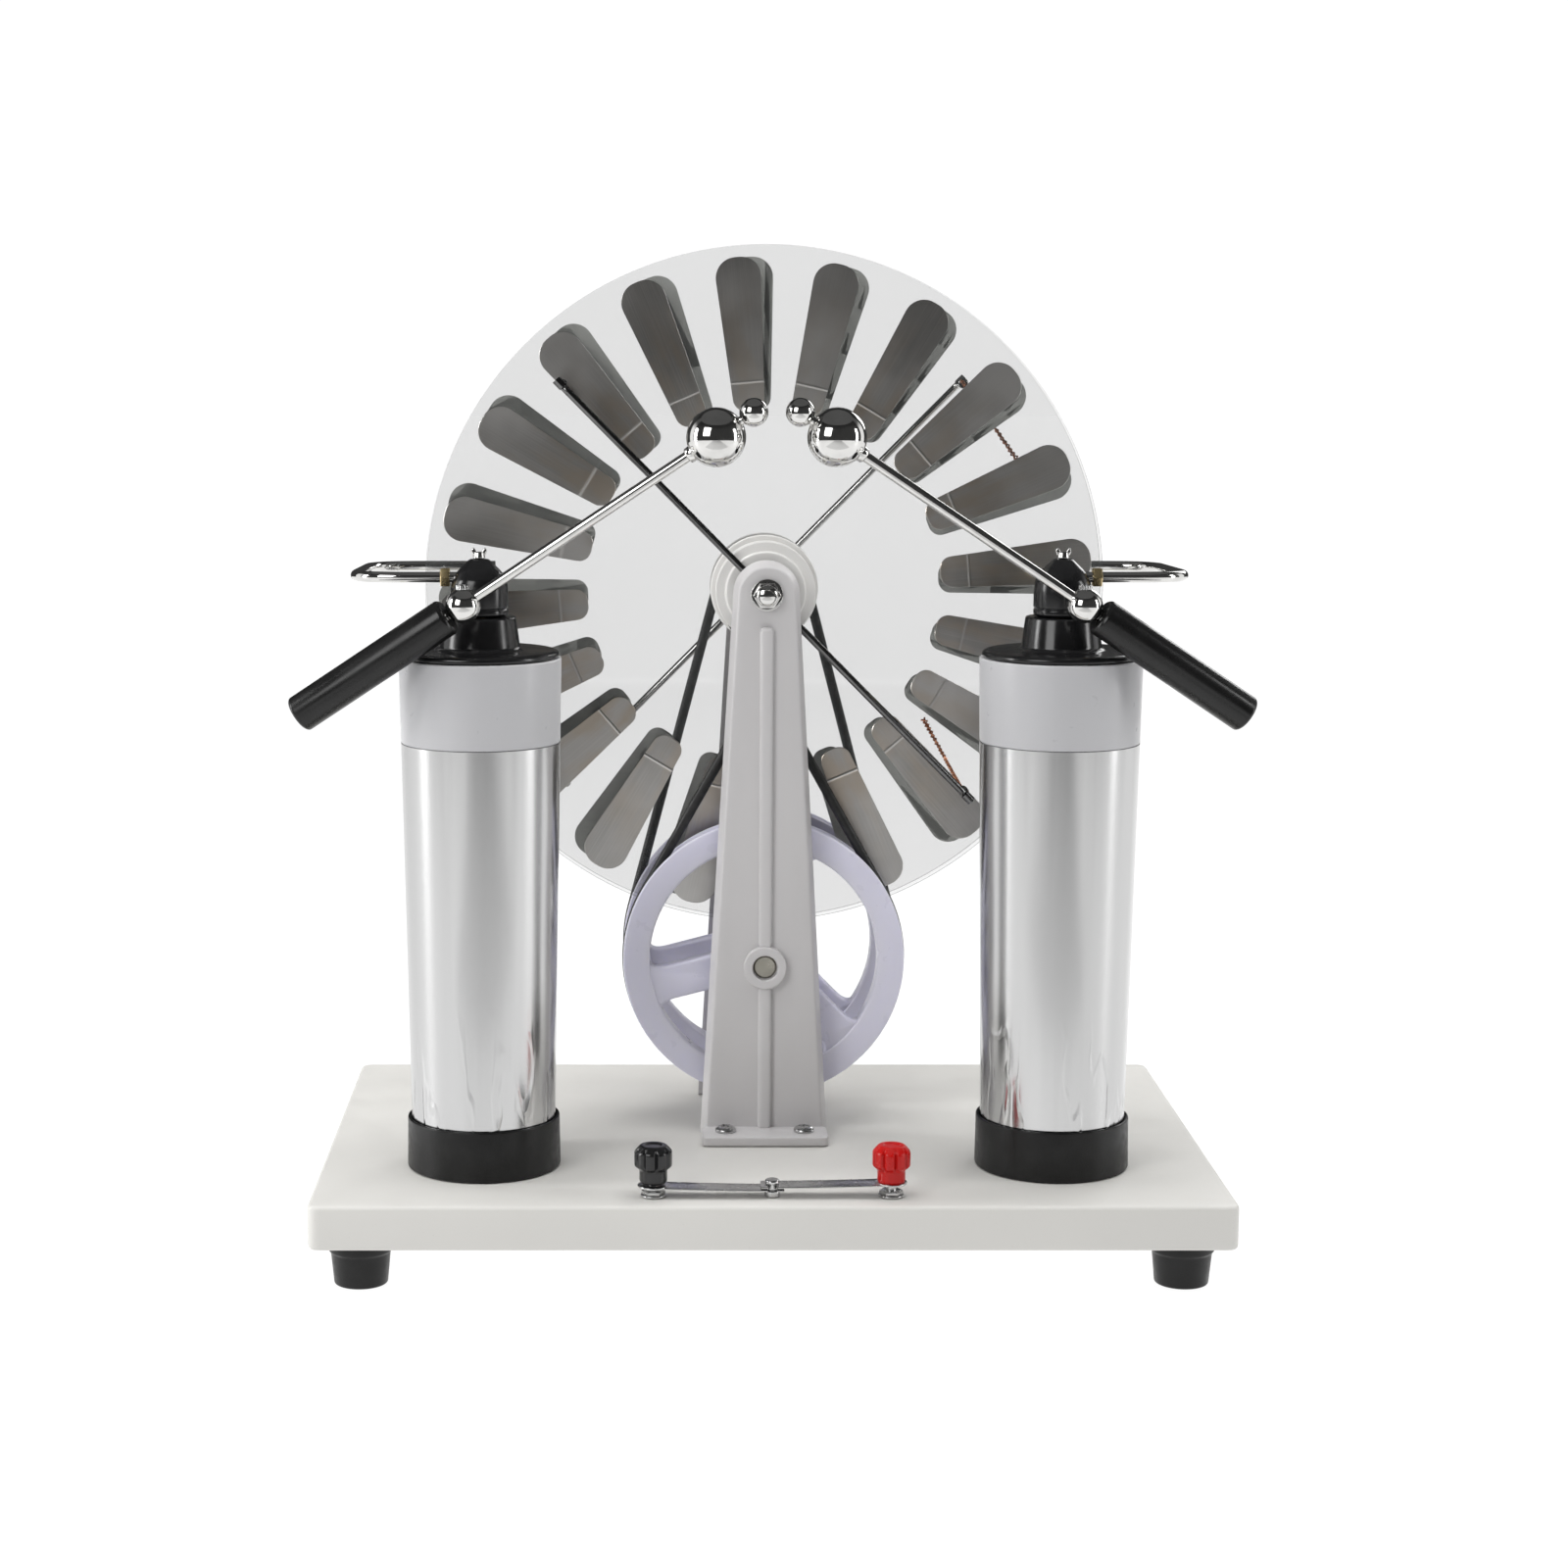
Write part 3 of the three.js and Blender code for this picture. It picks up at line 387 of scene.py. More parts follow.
# ---- material helpers
class Look:
    """A material with one Principled shader, the record's slot it belongs to, and short ways to
    feed the shader."""

    def __init__(self, slot, name, colour, roughness, metallic=0.0, plain=None):
        self.slot = slot
        self.material = bpy.data.materials.new(name)
        self.material.use_nodes = True
        self.tree = self.material.node_tree
        self.shader = self.tree.nodes["Principled BSDF"]
        self.normal = None
        self.place = self.node("ShaderNodeTexCoord").outputs["Object"]
        self.colour = (*colour, 1.0)
        self.feed("Base Color", self.colour)
        self.feed("Roughness", roughness)
        self.feed("Metallic", metallic)
        for socket, value in (plain or {}).items():
            self.feed(socket, value)

    def node(self, kind, inputs=None, **settings):
        made = self.tree.nodes.new(kind)
        for setting, value in settings.items():
            setattr(made, setting, value)
        for socket, value in (inputs or {}).items():
            self.give(made.inputs[socket], value)
        return made

    def give(self, socket, value):
        if isinstance(value, bpy.types.NodeSocket):
            self.tree.links.new(value, socket)
        else:
            socket.default_value = value

    def feed(self, socket, value):
        self.give(self.shader.inputs[socket], value)

    def noise(self, scale, detail=3.0, stretch=(1.0, 1.0, 1.0), source=None):
        """Noise from 0 to 1. The scale is in features to the metre."""
        spot = self.node("ShaderNodeMapping", {"Vector": source or self.place, "Scale": stretch})
        inputs = {"Vector": spot.outputs[0], "Scale": scale, "Detail": detail}
        return self.node("ShaderNodeTexNoise", inputs).outputs["Fac"]

    def spread(self, value, low_in, high_in, low_out, high_out):
        """A value's range from low_in to high_in laid out from low_out to high_out."""
        inputs = {
            "Value": value, "From Min": low_in, "From Max": high_in,
            "To Min": low_out, "To Max": high_out,
        }
        return self.node("ShaderNodeMapRange", inputs).outputs[0]

    def math(self, operation, a, b=0.0):
        return self.node("ShaderNodeMath", {0: a, 1: b}, operation=operation).outputs[0]

    def mix(self, share, first, second):
        """Two colours mixed by a share from 0 to 1."""
        made = self.node("ShaderNodeMix", data_type="RGBA")
        for socket, value in ((0, share), (6, first), (7, second)):
            self.give(made.inputs[socket], value)
        return made.outputs[2]

    def tone(self, share, factor):
        """Tints the base colour so far towards its own colour times factor, by a share."""
        factor = factor if isinstance(factor, tuple) else (factor,) * 3
        toned = (*(c * f for c, f in zip(self.colour, factor)), 1.0)
        linked = self.shader.inputs["Base Color"].links
        so_far = linked[0].from_socket if linked else self.colour
        self.feed("Base Color", self.mix(share, so_far, toned))

    def field(self, noise):
        """A socket as it is, or the noise that a (scale, detail) stands for."""
        return self.noise(*noise) if isinstance(noise, tuple) else noise

    def patches(self, noise, low_in, high_in, factor, most=1.0):
        """A tint that comes in as a noise goes from low_in to high_in."""
        self.tone(self.spread(self.field(noise), low_in, high_in, 0.0, most), factor)

    def worn(self, noise, low_in, high_in, smooth, rough):
        """A roughness that follows a noise."""
        self.feed("Roughness", self.spread(self.field(noise), low_in, high_in, smooth, rough))

    def bump(self, noise, distance, strength=1.0):
        inputs = {"Height": self.field(noise), "Distance": distance, "Strength": strength}
        made = self.node("ShaderNodeBump", inputs)
        if self.normal:
            self.tree.links.new(self.normal, made.inputs["Normal"])
        self.normal = made.outputs[0]
        self.feed("Normal", self.normal)

    def edges(self, radius):
        """A share that is 1 along sharp edges and 0 on open faces."""
        rounded = self.node("ShaderNodeBevel", {"Radius": radius}, samples=4).outputs[0]
        plain = self.node("ShaderNodeNewGeometry").outputs["Normal"]
        normals = {0: rounded, 1: plain}
        agreement = self.node("ShaderNodeVectorMath", normals, operation="DOT_PRODUCT")
        return self.spread(agreement.outputs["Value"], 0.98, 0.8, 0.0, 1.0)

    def line(self, value, middle, reach):
        """A share that is 1 where a value meets the middle, and 0 further from it than reach."""
        away = self.math("ABSOLUTE", self.math("SUBTRACT", value, middle))
        return self.spread(away, 0.0, reach, 1.0, 0.0)


# ---- materials
def board_paint():
    look = Look("board_paint", "board_paint", (0.69, 0.68, 0.65), 0.42)
    clouds, dust = (9, 4), (1400, 2)
    look.patches(clouds, 0.35, 0.7, 0.95)
    look.patches(dust, 0.68, 0.76, (0.75, 0.73, 0.7), most=0.5)
    look.worn((60, 4), 0.3, 0.7, 0.36, 0.5)
    look.bump((700, 2), 0.00005, 0.35)
    look.bump((90, 3), 0.0001, 0.2)
    return look


def moulded(slot, name, colour, roughness, plain=None, shade=0.93):
    """Injection-moulded plastic: a faint texture, flow marks and handling marks."""
    look = Look(slot, name, colour, roughness, plain=plain)
    flow = look.noise(25, 4, stretch=(1.0, 1.0, 0.35))
    look.patches(flow, 0.35, 0.7, shade)
    look.worn((180, 5), 0.3, 0.75, roughness * 0.8, roughness * 1.3)
    look.bump((1500, 2), 0.00004, 0.5)
    look.bump((120, 2), 0.00008, 0.2)
    return look


def black_plastic():
    look = Look("black_plastic", "black_plastic", (0.008, 0.008, 0.0085), 0.2)
    look.patches((160, 4), 0.45, 0.75, 1.5)
    look.tone(look.edges(0.0008), 2.5)
    look.worn((60, 4), 0.3, 0.7, 0.14, 0.26)
    look.bump((220, 2), 0.00003, 0.15)
    return look


def handle_plastic():
    """Smooth black plastic, a little worn by hands."""
    plain = {"Specular IOR Level": 0.4}
    look = Look("black_plastic", "handle_plastic", (0.006, 0.006, 0.006), 0.3, plain=plain)
    look.patches((90, 3), 0.4, 0.7, 1.5)
    look.tone(look.edges(0.0008), 3.0)
    look.worn((60, 3), 0.3, 0.7, 0.22, 0.32)
    look.bump((300, 2), 0.00001, 0.1)
    return look


def rubber():
    plain = {"Specular IOR Level": 0.3}
    look = Look("rubber", "rubber", (0.007, 0.007, 0.007), 0.5, plain=plain)
    look.patches((150, 5), 0.45, 0.75, 1.7)
    look.tone(look.edges(0.001), 2.2)
    look.worn((300, 4), 0.3, 0.7, 0.28, 0.46)
    look.bump((1800, 3), 0.00008, 0.6)
    return look


def belt_rubber():
    look = Look("belt_rubber", "belt_rubber", (0.007, 0.007, 0.007), 0.5)
    look.patches((300, 4), 0.45, 0.7, 1.8)
    look.worn((500, 3), 0.3, 0.7, 0.4, 0.6)
    look.bump((2500, 2), 0.00006, 0.5)
    return look


def acrylic(name, colour, alpha):
    """Clear sheet. Its alpha stays one plain number, which the export can carry."""
    look = Look("disc_acrylic", name, colour, 0.06, plain={"Alpha": alpha})
    look.worn((40, 5), 0.4, 0.75, 0.03, 0.14)
    look.patches((30, 4), 0.4, 0.7, 1.3)
    look.bump((300, 3), 0.00001, 0.3)
    return look


def jar_plastic():
    """Milky plastic, paler where it is seen edge-on."""
    plain = {
        "Subsurface Weight": 0.3, "Subsurface Radius": (1.0, 0.95, 0.9), "Subsurface Scale": 0.003,
        "Sheen Weight": 0.5, "Sheen Roughness": 0.4,
    }
    return moulded("jar_plastic", "jar_plastic", (0.51, 0.51, 0.525), 0.34, plain, shade=0.985)


def wheel_plastic():
    plain = {
        "Subsurface Weight": 0.3, "Subsurface Radius": (0.8, 0.8, 1.0), "Subsurface Scale": 0.004,
    }
    return moulded("wheel_plastic", "wheel_plastic", (0.75, 0.74, 0.87), 0.32, plain)


def jar_foil():
    """Foil wrapped round the jars: faint drawn marks down it, and creases low down."""
    look = Look("foil", "jar_foil", (0.58, 0.58, 0.58), 0.2, metallic=1.0)
    drawn = look.noise(260, 3, stretch=(1.0, 1.0, 0.012))
    broad = look.noise(45, 2, stretch=(1.0, 1.0, 0.05))
    look.patches(broad, 0.35, 0.65, 0.93)
    look.worn(drawn, 0.25, 0.75, 0.16, 0.24)
    look.bump(drawn, 0.00002, 0.15)
    look.bump(broad, 0.0003, 0.12)
    height = look.node("ShaderNodeSeparateXYZ", {0: look.place}).outputs["Z"]
    board_top = TOP * MM
    near_foot = look.spread(height, board_top + 0.07, board_top + 0.02, 0.0, 1.0)
    ridge = look.line(look.noise(70, 2, stretch=(1.0, 1.0, 0.22)), 0.5, 0.03)
    look.bump(look.math("MULTIPLY", ridge, near_foot), 0.0006, 0.5)
    return look


def sector_foil():
    """Stuck-down sheet metal. Its map runs across each sector in U, with the sector's number
    added, and from its inner end to its outer one in V, plus 2 on the glued side."""
    look = Look("foil", "sector_foil", (0.50, 0.49, 0.475), 0.3, metallic=1.0)
    spot = look.node("ShaderNodeUVMap", uv_map="sector").outputs[0]
    grain = look.noise(34, 3, stretch=(1.0, 0.035, 1.0), source=spot)
    smudge = look.noise(2.2, 5, source=spot)
    handled = look.noise(25, 3)
    split = look.node("ShaderNodeSeparateXYZ", {0: spot})
    along = split.outputs["Y"]
    number = look.math("FLOOR", split.outputs["X"])
    own = look.node("ShaderNodeTexWhiteNoise", {"W": number}, noise_dimensions="1D")
    look.patches(own.outputs["Value"], 0.0, 1.0, 0.72, most=0.9)
    look.patches(grain, 0.4, 0.7, 1.15, most=0.5)
    browned = look.spread(smudge, 0.42, 0.6, 0.1, 1.0)
    inner_end = look.spread(along, 0.85, 0.35, 0.1, 1.0)
    look.tone(look.math("MULTIPLY", browned, inner_end), (0.93, 0.84, 0.74))
    look.patches(handled, 0.42, 0.68, 1.22, most=0.8)
    look.worn(handled, 0.2, 0.8, 0.27, 0.37)
    crease = look.line(along, 0.19, 0.012)
    look.tone(crease, 1.2)
    glued = look.spread(along, 1.4, 1.6, 0.0, 1.0)
    look.tone(glued, (0.95, 0.98, 0.96))
    look.feed("Metallic", look.math("SUBTRACT", 1.0, glued))
    look.bump(grain, 0.00001, 0.3)
    look.bump(crease, 0.0002, 0.5)
    return look


def bright_metal(slot, name, colour, low_rough, high_rough, grain=0.00001):
    """Plated or polished metal with smudges and fine scratches."""
    look = Look(slot, name, colour, low_rough, metallic=1.0)
    smudge = look.noise(140, 5)
    look.patches(smudge, 0.4, 0.75, 0.88)
    look.worn(smudge, 0.35, 0.75, low_rough, high_rough)
    look.bump((900, 4), grain, 0.3)
    return look


def copper_braid():
    look = bright_metal("brass", "copper_braid", (0.50, 0.24, 0.15), 0.3, 0.5)
    look.patches((900, 3), 0.4, 0.6, 0.6)
    return look


BOARD_PAINT = board_paint()
RUBBER = rubber()
UPRIGHT_PLASTIC = moulded("white_plastic", "upright_plastic", (0.62, 0.607, 0.61), 0.36)
PULLEY_PLASTIC = moulded("white_plastic", "pulley_plastic", (0.79, 0.78, 0.76), 0.36)
WHEEL_PLASTIC = wheel_plastic()
ACRYLIC = acrylic("disc_acrylic", (0.10, 0.105, 0.105), 0.09)
ACRYLIC_RIM = acrylic("disc_acrylic_rim", (0.24, 0.265, 0.26), 0.45)
JAR_PLASTIC = jar_plastic()
JAR_FOIL = jar_foil()
SECTOR_FOIL = sector_foil()
STEEL = bright_metal("steel", "steel", (0.60, 0.60, 0.60), 0.2, 0.36, grain=0.00003)
SHAFT_STEEL = bright_metal("steel", "shaft_steel", (0.36, 0.345, 0.30), 0.26, 0.4, grain=0.00003)
CHROME = bright_metal("chrome", "chrome", (0.72, 0.715, 0.70), 0.04, 0.12)
DARK_STEEL = bright_metal("steel", "dark_steel", (0.16, 0.16, 0.16), 0.14, 0.26)
BRASS = bright_metal("brass", "brass", (0.90, 0.72, 0.40), 0.24, 0.4)
BLACK_PLASTIC = black_plastic()
HANDLE_PLASTIC = handle_plastic()
RED_PLASTIC = moulded(
    "red_plastic", "red_plastic", (0.48, 0.004, 0.003), 0.3, plain={"Specular IOR Level": 0.3}
)
BELT_RUBBER = belt_rubber()
COPPER = copper_braid()


# ---- board, feet and screws
def board():
    bm = bmesh.new()
    lo, hi = low("base_board"), high("base_board")
    outline = rectangle(lo.x, lo.y, hi.x, hi.y, corner=5, steps=8)
    flat_part(bm, [outline], hi.z - lo.z, edge=1.6, place=at(0, 0, (lo.z + hi.z) / 2))
    rebuild("base_board", bm, BOARD_PAINT)


def rubber_foot(node):
    """A tapered foot, hollow below where its screw goes up into the board."""
    bottom = low(node).z
    height = high(node).z - bottom
    top = half_width(node)
    foot = top - 2.2
    recess, recess_depth = 5.2, 6
    profile = [
        (0, recess_depth), (recess, recess_depth), (recess, 0), (foot, 0), (top - 1, height - 5),
        (top, height - 4), (top, height), (0, height),
    ]
    turned(node, RUBBER, fillet(profile, 0.9), on_board(node, bottom))
    seat = on_board(node, bottom + recess_depth)
    screw = pan_screw(seat @ Matrix.Rotation(math.pi, 4, "X"), radius=4)
    piece(f"{node}_screw", screw, STEEL, BODY_OF[node])


def pan_screw(place, radius=4.2, turn=0.0):
    """A pan-head screw with a cross recess, seated on the local XY plane."""
    head = bmesh.new()
    height, sunk = 0.55 * radius, 0.4
    profile = [
        (0, -sunk), (radius, -sunk), (radius, 0.3 * height), (0.72 * radius, 0.85 * height),
        (0, height),
    ]
    lathe(head, fillet(profile, 0.8), segments=48)
    long_half, short_half, bottom = 0.6 * radius, 0.15 * radius, 0.1 * height
    wide = rectangle(-long_half, -short_half, long_half, short_half, 0.1, steps=1)
    narrow = [(0.7 * x, 0.6 * y) for x, y in wide]
    rings = [[(x, y, bottom) for x, y in narrow], [(x, y, height + 1) for x, y in wide]]
    for angle in (turn, turn + 90):
        arm = bmesh.new()
        skin(arm, rings, Matrix.Rotation(math.radians(angle), 4, "Z"))
        head = carve(head, arm)
    head.transform(place)
    return head


# ---- uprights
def upright_outline(inset, bottom):
    """An upright's outline as (x, height), drawn in from its widest edge by inset."""
    top = arc(UPRIGHT.top_radius - inset, 180, 0, 28, middle=(0, AXLE.z))
    half_foot = UPRIGHT.foot_half - inset
    return [(-half_foot, bottom), *top, (half_foot, bottom)]


def upright(end):
    bm = bmesh.new()
    u = UPRIGHT
    foot = TOP + GAP
    pocket = TOP + 6
    face_margin, pocket_margin = 4, 3
    rib_half, rib_depth, rib_root, rib_top = 2.7, 2.6, 1.5, TOP + 208
    boss_radius, boss_front = 8.7, u.front + 3.4
    pocket_floor = u.front - u.wall
    sections = [
        (u.wall + u.draft + pocket_margin, pocket + pocket_margin, pocket_floor),
        (u.wall + u.draft, pocket, pocket_floor),
        (u.wall, pocket, u.back),
        (0, foot, u.back),
        (u.draft, foot, u.front),
        (u.draft + face_margin, foot, u.front),
    ]
    rings = [
        [(x, height, out) for x, height in upright_outline(inset, bottom)]
        for inset, bottom, out in fillet(sections, 1.1)
    ]
    skin(bm, rings, facing(end))

    rib_thickness = rib_depth + rib_root
    rib_place = facing(end) @ at(0, 0, u.front + rib_depth - rib_thickness / 2)
    boss_reach = boss_radius - 1
    for start, finish in ((foot + 3, SHAFT.z - boss_reach), (SHAFT.z + boss_reach, rib_top)):
        rib = rectangle(-rib_half, start, rib_half, finish, rib_half, steps=8)
        flat_part(bm, [rib], rib_thickness, 1.4, rib_place)

    boss = tube(SHAFT_RADIUS + GAP, boss_radius, u.front - 1, boss_front, 0.7)
    lathe(bm, boss, facing(end, SHAFT.z))

    side = u.flange_half
    flange = rectangle(-side, -u.flange_front, side, 1 - u.front, corner=2.5)
    middle = foot + u.flange_height / 2
    flat_part(bm, [flange], u.flange_height, 0.8, half(end) @ at(0, 0, middle))
    rebuild(f"{end}_upright", bm, UPRIGHT_PLASTIC)

    screws = bmesh.new()
    screw_x, screw_out, screw_rise = 15.8, 44.5, 0.4
    for way, turn in ((-1, 35), (1, 75)):
        seat = at(way * screw_x, -screw_out, foot + u.flange_height + screw_rise)
        merge(screws, pan_screw(half(end) @ seat, turn=turn))
    piece(f"{end}_upright_screws", screws, STEEL, BODY_OF[f"{end}_upright"])


def cap_nut(end):
    """A washer, a hexagon and a domed top."""
    bm = bmesh.new()
    place = facing(end, AXLE.z) @ at(0, 0, UPRIGHT.front + GAP)
    lathe(bm, tube(AXLE_RADIUS + GAP, 6.4, 0, 1.1, 0.35), place)
    corners, thickness, middle = 5.6, 2.6, 2.3
    flat_part(bm, [hexagon(corners)], thickness, 0.45, place @ at(0, 0, middle))
    dome_foot, squash = 3.2, 0.61
    dome = [(0, dome_foot), (4.7, dome_foot), *arc(4.5, 0, 90, 12, middle=(0, 3.6))]
    dome[-1] = (0, dome[-1][1])
    squashed = [(radius, dome_foot + (height - dome_foot) * squash) for radius, height in dome]
    lathe(bm, squashed, place)
    rebuild(f"{end}_cap_nut", bm, CHROME)


def upper_axle():
    """A rod with a collar that keeps the discs apart."""
    end = UPRIGHT.front + 4
    collar, collar_radius = DISC.inner - GAP, AXLE_RADIUS + 3
    profile = [
        (0, -end), (AXLE_RADIUS, -end), (AXLE_RADIUS, -collar), (collar_radius, -collar),
        (collar_radius, collar), (AXLE_RADIUS, collar), (AXLE_RADIUS, end), (0, end),
    ]
    turned("upper_axle", STEEL, fillet(profile, 0.4), facing("front", AXLE.z))


# ---- discs and pulleys
def disc(end):
    """A clear disc whose cut rim is a less clear material."""
    bore = AXLE_RADIUS + GAP
    profile = tube(bore, DISC_RADIUS, DISC.inner, DISC.outer, 0.35, steps=2)
    made = turned(f"{end}_disc", ACRYLIC, profile, facing(end, AXLE.z), segments=180)
    made.data.materials.append(ACRYLIC_RIM.material)
    rim_margin = 0.05
    rim_radius = (DISC_RADIUS - rim_margin) * MM
    for polygon in made.data.polygons:
        corners = [made.data.vertices[index].co for index in polygon.vertices]
        if all(math.hypot(co.x, co.z - AXLE.z * MM) > rim_radius for co in corners):
            polygon.material_index = 1


SECTOR = Sizes(
    count=20, inner=71.7, outer=133.0, inner_half=6.0, outer_half=9.7,
    inner_corner=5.0, outer_corner=8.2, thickness=0.5,
)
FIRST_SECTOR = {"front": 5.0, "rear": 177.3}  # degrees, in each half's own (x, height) plane


def sector_outline():
    """A sector along the X axis: straight sides that spread apart, and round corners."""
    s = SECTOR
    slope = (s.outer_half - s.inner_half) / (s.outer - s.inner)
    lean = math.degrees(math.atan(slope))

    def corner(x, radius, side, first, last):
        side_at = s.inner_half + slope * (x - s.inner)
        offset = side_at - radius / math.cos(math.radians(lean))
        return arc(radius, first, last, 9, middle=(x, side * offset))

    outer_x = s.outer - s.outer_corner
    inner_x = s.inner + s.inner_corner
    points = [
        *corner(outer_x, s.outer_corner, -1, -90 + lean, 0),
        *corner(outer_x, s.outer_corner, 1, 0, 90 + lean),
        *corner(inner_x, s.inner_corner, 1, 90 + lean, 180),
        *corner(inner_x, s.inner_corner, -1, 180, 270 - lean),
    ]
    return [Vector(point) for point in points]


def sectors(end):
    """The metal sectors stuck round one disc, with a map that numbers them."""
    bm = bmesh.new()
    s = SECTOR
    outline = sector_outline()
    uv = bm.loops.layers.uv.new("sector")
    face_out = DISC.outer
    edge = 0.25
    for k in range(s.count):
        turn = Matrix.Rotation(math.radians(FIRST_SECTOR[end] + 360 / s.count * k), 4, "Z")
        place = facing(end, AXLE.z) @ turn
        mid = Vector(((s.inner + s.outer) / 2, 0))
        rings = []
        for inset, rise in ((0, 0), (0, s.thickness - edge), (edge, s.thickness)):
            drawn = [point + (mid - point).normalized() * inset for point in outline]
            rings.append([(x, y, face_out + rise) for x, y in drawn])
        before = len(bm.faces)
        skin(bm, rings, place)
        back = place.inverted()
        bm.faces.ensure_lookup_table()
        glued = bm.faces[-2]
        for face in bm.faces[before:]:
            for loop in face.loops:
                x, y, _ = back @ loop.vert.co
                across = 0.5 + y / (2 * s.outer_half) * 0.98
                along = (x - s.inner) / (s.outer - s.inner)
                loop[uv].uv = (k + across, along + (2 if face == glued else 0))
    piece(f"{end}_sectors", bm, SECTOR_FOIL, BODY_OF[f"{end}_disc"], sharp=25)


def grooved(mouth, root):
    """A belt groove from its mouth on the discs' side to its outer mouth, as (radius, out)."""
    out, root_half, mouth_half = BELT.out, BELT.root_half, BELT.mouth_half
    return [
        (mouth, out - mouth_half), (root, out - root_half), (root, out + root_half),
        (mouth, out + mouth_half),
    ]


def pulley(end):
    """A flange against the disc, a barrel, a grooved rim and a low cap."""
    p = PULLEY
    bore = AXLE_RADIUS + GAP
    start = DISC.outer + GAP
    flange_end, rim_start, rim_end, cap_end = 8.0, 13.8, 22.0, 23.5
    profile = [
        (bore, start), (p.flange, start), (p.flange, flange_end), (p.barrel, flange_end),
        (p.barrel, rim_start), (p.rim, rim_start), *grooved(p.rim, p.groove),
        (p.rim, rim_end), (p.cap, rim_end), (p.cap, cap_end), (bore, cap_end),
    ]
    profile = fillet(profile, 0.7, closed=True, steps=3)
    turned(f"{end}_pulley", PULLEY_PLASTIC, profile, facing(end, AXLE.z), segments=96)


# ---- drive wheels, shaft and crank
def drive_wheel(end):
    """A grooved rim and a hub, joined by a web of flared spokes."""
    bm = bmesh.new()
    w = WHEEL
    place = facing(end, SHAFT.z)
    rim = [
        (w.inner, w.start), (w.radius, w.start), *grooved(w.radius, w.groove),
        (w.radius, w.end), (w.inner, w.end),
    ]
    lathe(bm, fillet(rim, 1.1, closed=True, steps=3), place, segments=120)
    bore = SHAFT_RADIUS + GAP
    lathe(bm, tube(bore, w.hub, w.start - 1, w.end + 1.5, 0.9), place)

    first = SPOKE.angle if end == "front" else 180 - SPOKE.angle
    embed = 0.6
    pitch = 360 / SPOKE.count
    windows = [
        window(first + pitch * k, pitch, w.hub - embed, w.inner + embed)
        for k in range(SPOKE.count)
    ]
    outlines = [circle(w.inner + 2 * embed, 90), *windows, circle(bore + 1, 36)]
    middle = (w.start + w.end) / 2
    flat_part(bm, outlines, SPOKE.depth, 1.2, place @ at(0, 0, middle))
    rebuild(f"{end}_drive_wheel", bm, WHEEL_PLASTIC)


def window(angle, pitch, inner, outer):
    """The opening between one spoke and the next, with its corners at the rim rounded."""
    spoke_half = SPOKE.width / 2

    def edge_angle(radius, side):
        return angle + side * math.degrees(math.asin(spoke_half / radius))

    rim_side = arc(outer, edge_angle(outer, 1), edge_angle(outer, -1) + pitch, 14)
    hub_side = arc(inner, edge_angle(inner, -1) + pitch, edge_angle(inner, 1), 3)
    corners = [Vector(point) for point in (*rim_side, *hub_side)]
    rounded = []
    for i, here in enumerate(corners):
        if i not in (0, len(rim_side) - 1):
            rounded.append(here)
            continue
        sides = (corners[i - 1] - here, corners[(i + 1) % len(corners)] - here)
        reaches = [min(SPOKE.flare, 0.9 * side.length) for side in sides]
        rounded += round_corner(here, *sides, *reaches, steps=6)
    return rounded


def drive_shaft():
    """The shaft's ends are chamfered, and its front one sits back inside the upright's boss."""
    front_end = UPRIGHT.front + 0.8
    rear_end = high("drive_shaft").y - AXLE.y
    chamfer = 0.7
    profile = [
        (0, -rear_end), (SHAFT_RADIUS - chamfer, -rear_end), (SHAFT_RADIUS, -rear_end + chamfer),
        (SHAFT_RADIUS, front_end - chamfer), (SHAFT_RADIUS - chamfer, front_end), (0, front_end),
    ]
    turned("drive_shaft", SHAFT_STEEL, profile, facing("front", SHAFT.z))


def crank():
    """The arm with the pin that its grip turns on, and the grip."""
    bm = bmesh.new()
    pin_at = joint_at("crank_grip_spin")
    length = SHAFT.z - pin_at.z
    eye, tip, pin_radius, head_radius = 9.0, 7.0, 3.0, 4.6
    thickness = 5.0
    back = facing("rear", SHAFT.z)
    out = low("crank_arm").y - AXLE.y
    outline = [*arc(eye, 0, 180, 24), *arc(tip, 180, 360, 24, middle=(0, -length))]
    hole = circle(SHAFT_RADIUS + GAP, 36)
    flat_part(bm, [outline, hole], thickness, 0.8, back @ at(0, 0, out + thickness / 2))
    head_end = high("crank_arm").y - AXLE.y
    head_start = high("crank_grip").y - AXLE.y + GAP
    pin = [
        (0, out + thickness - 1), (pin_radius, out + thickness - 1), (pin_radius, head_start),
        (head_radius, head_start), (head_radius, head_end), (0, head_end),
    ]
    lathe(bm, fillet(pin, 0.5), back @ at(0, -length, 0))
    rebuild("crank_arm", bm, STEEL)

    start = low("crank_grip").y - AXLE.y
    end = high("crank_grip").y - AXLE.y
    radius = half_width("crank_grip")
    bore = pin_radius + GAP
    shape = [
        (bore, start), (radius - 2, start), (radius - 0.6, start + 4), (radius, (start + end) / 2),
        (radius - 0.6, end - 4), (radius - 2, end), (bore, end),
    ]
    shape = fillet(shape, 3, closed=True, steps=6)
    turned("crank_grip", HANDLE_PLASTIC, shape, back @ at(0, -length, 0))


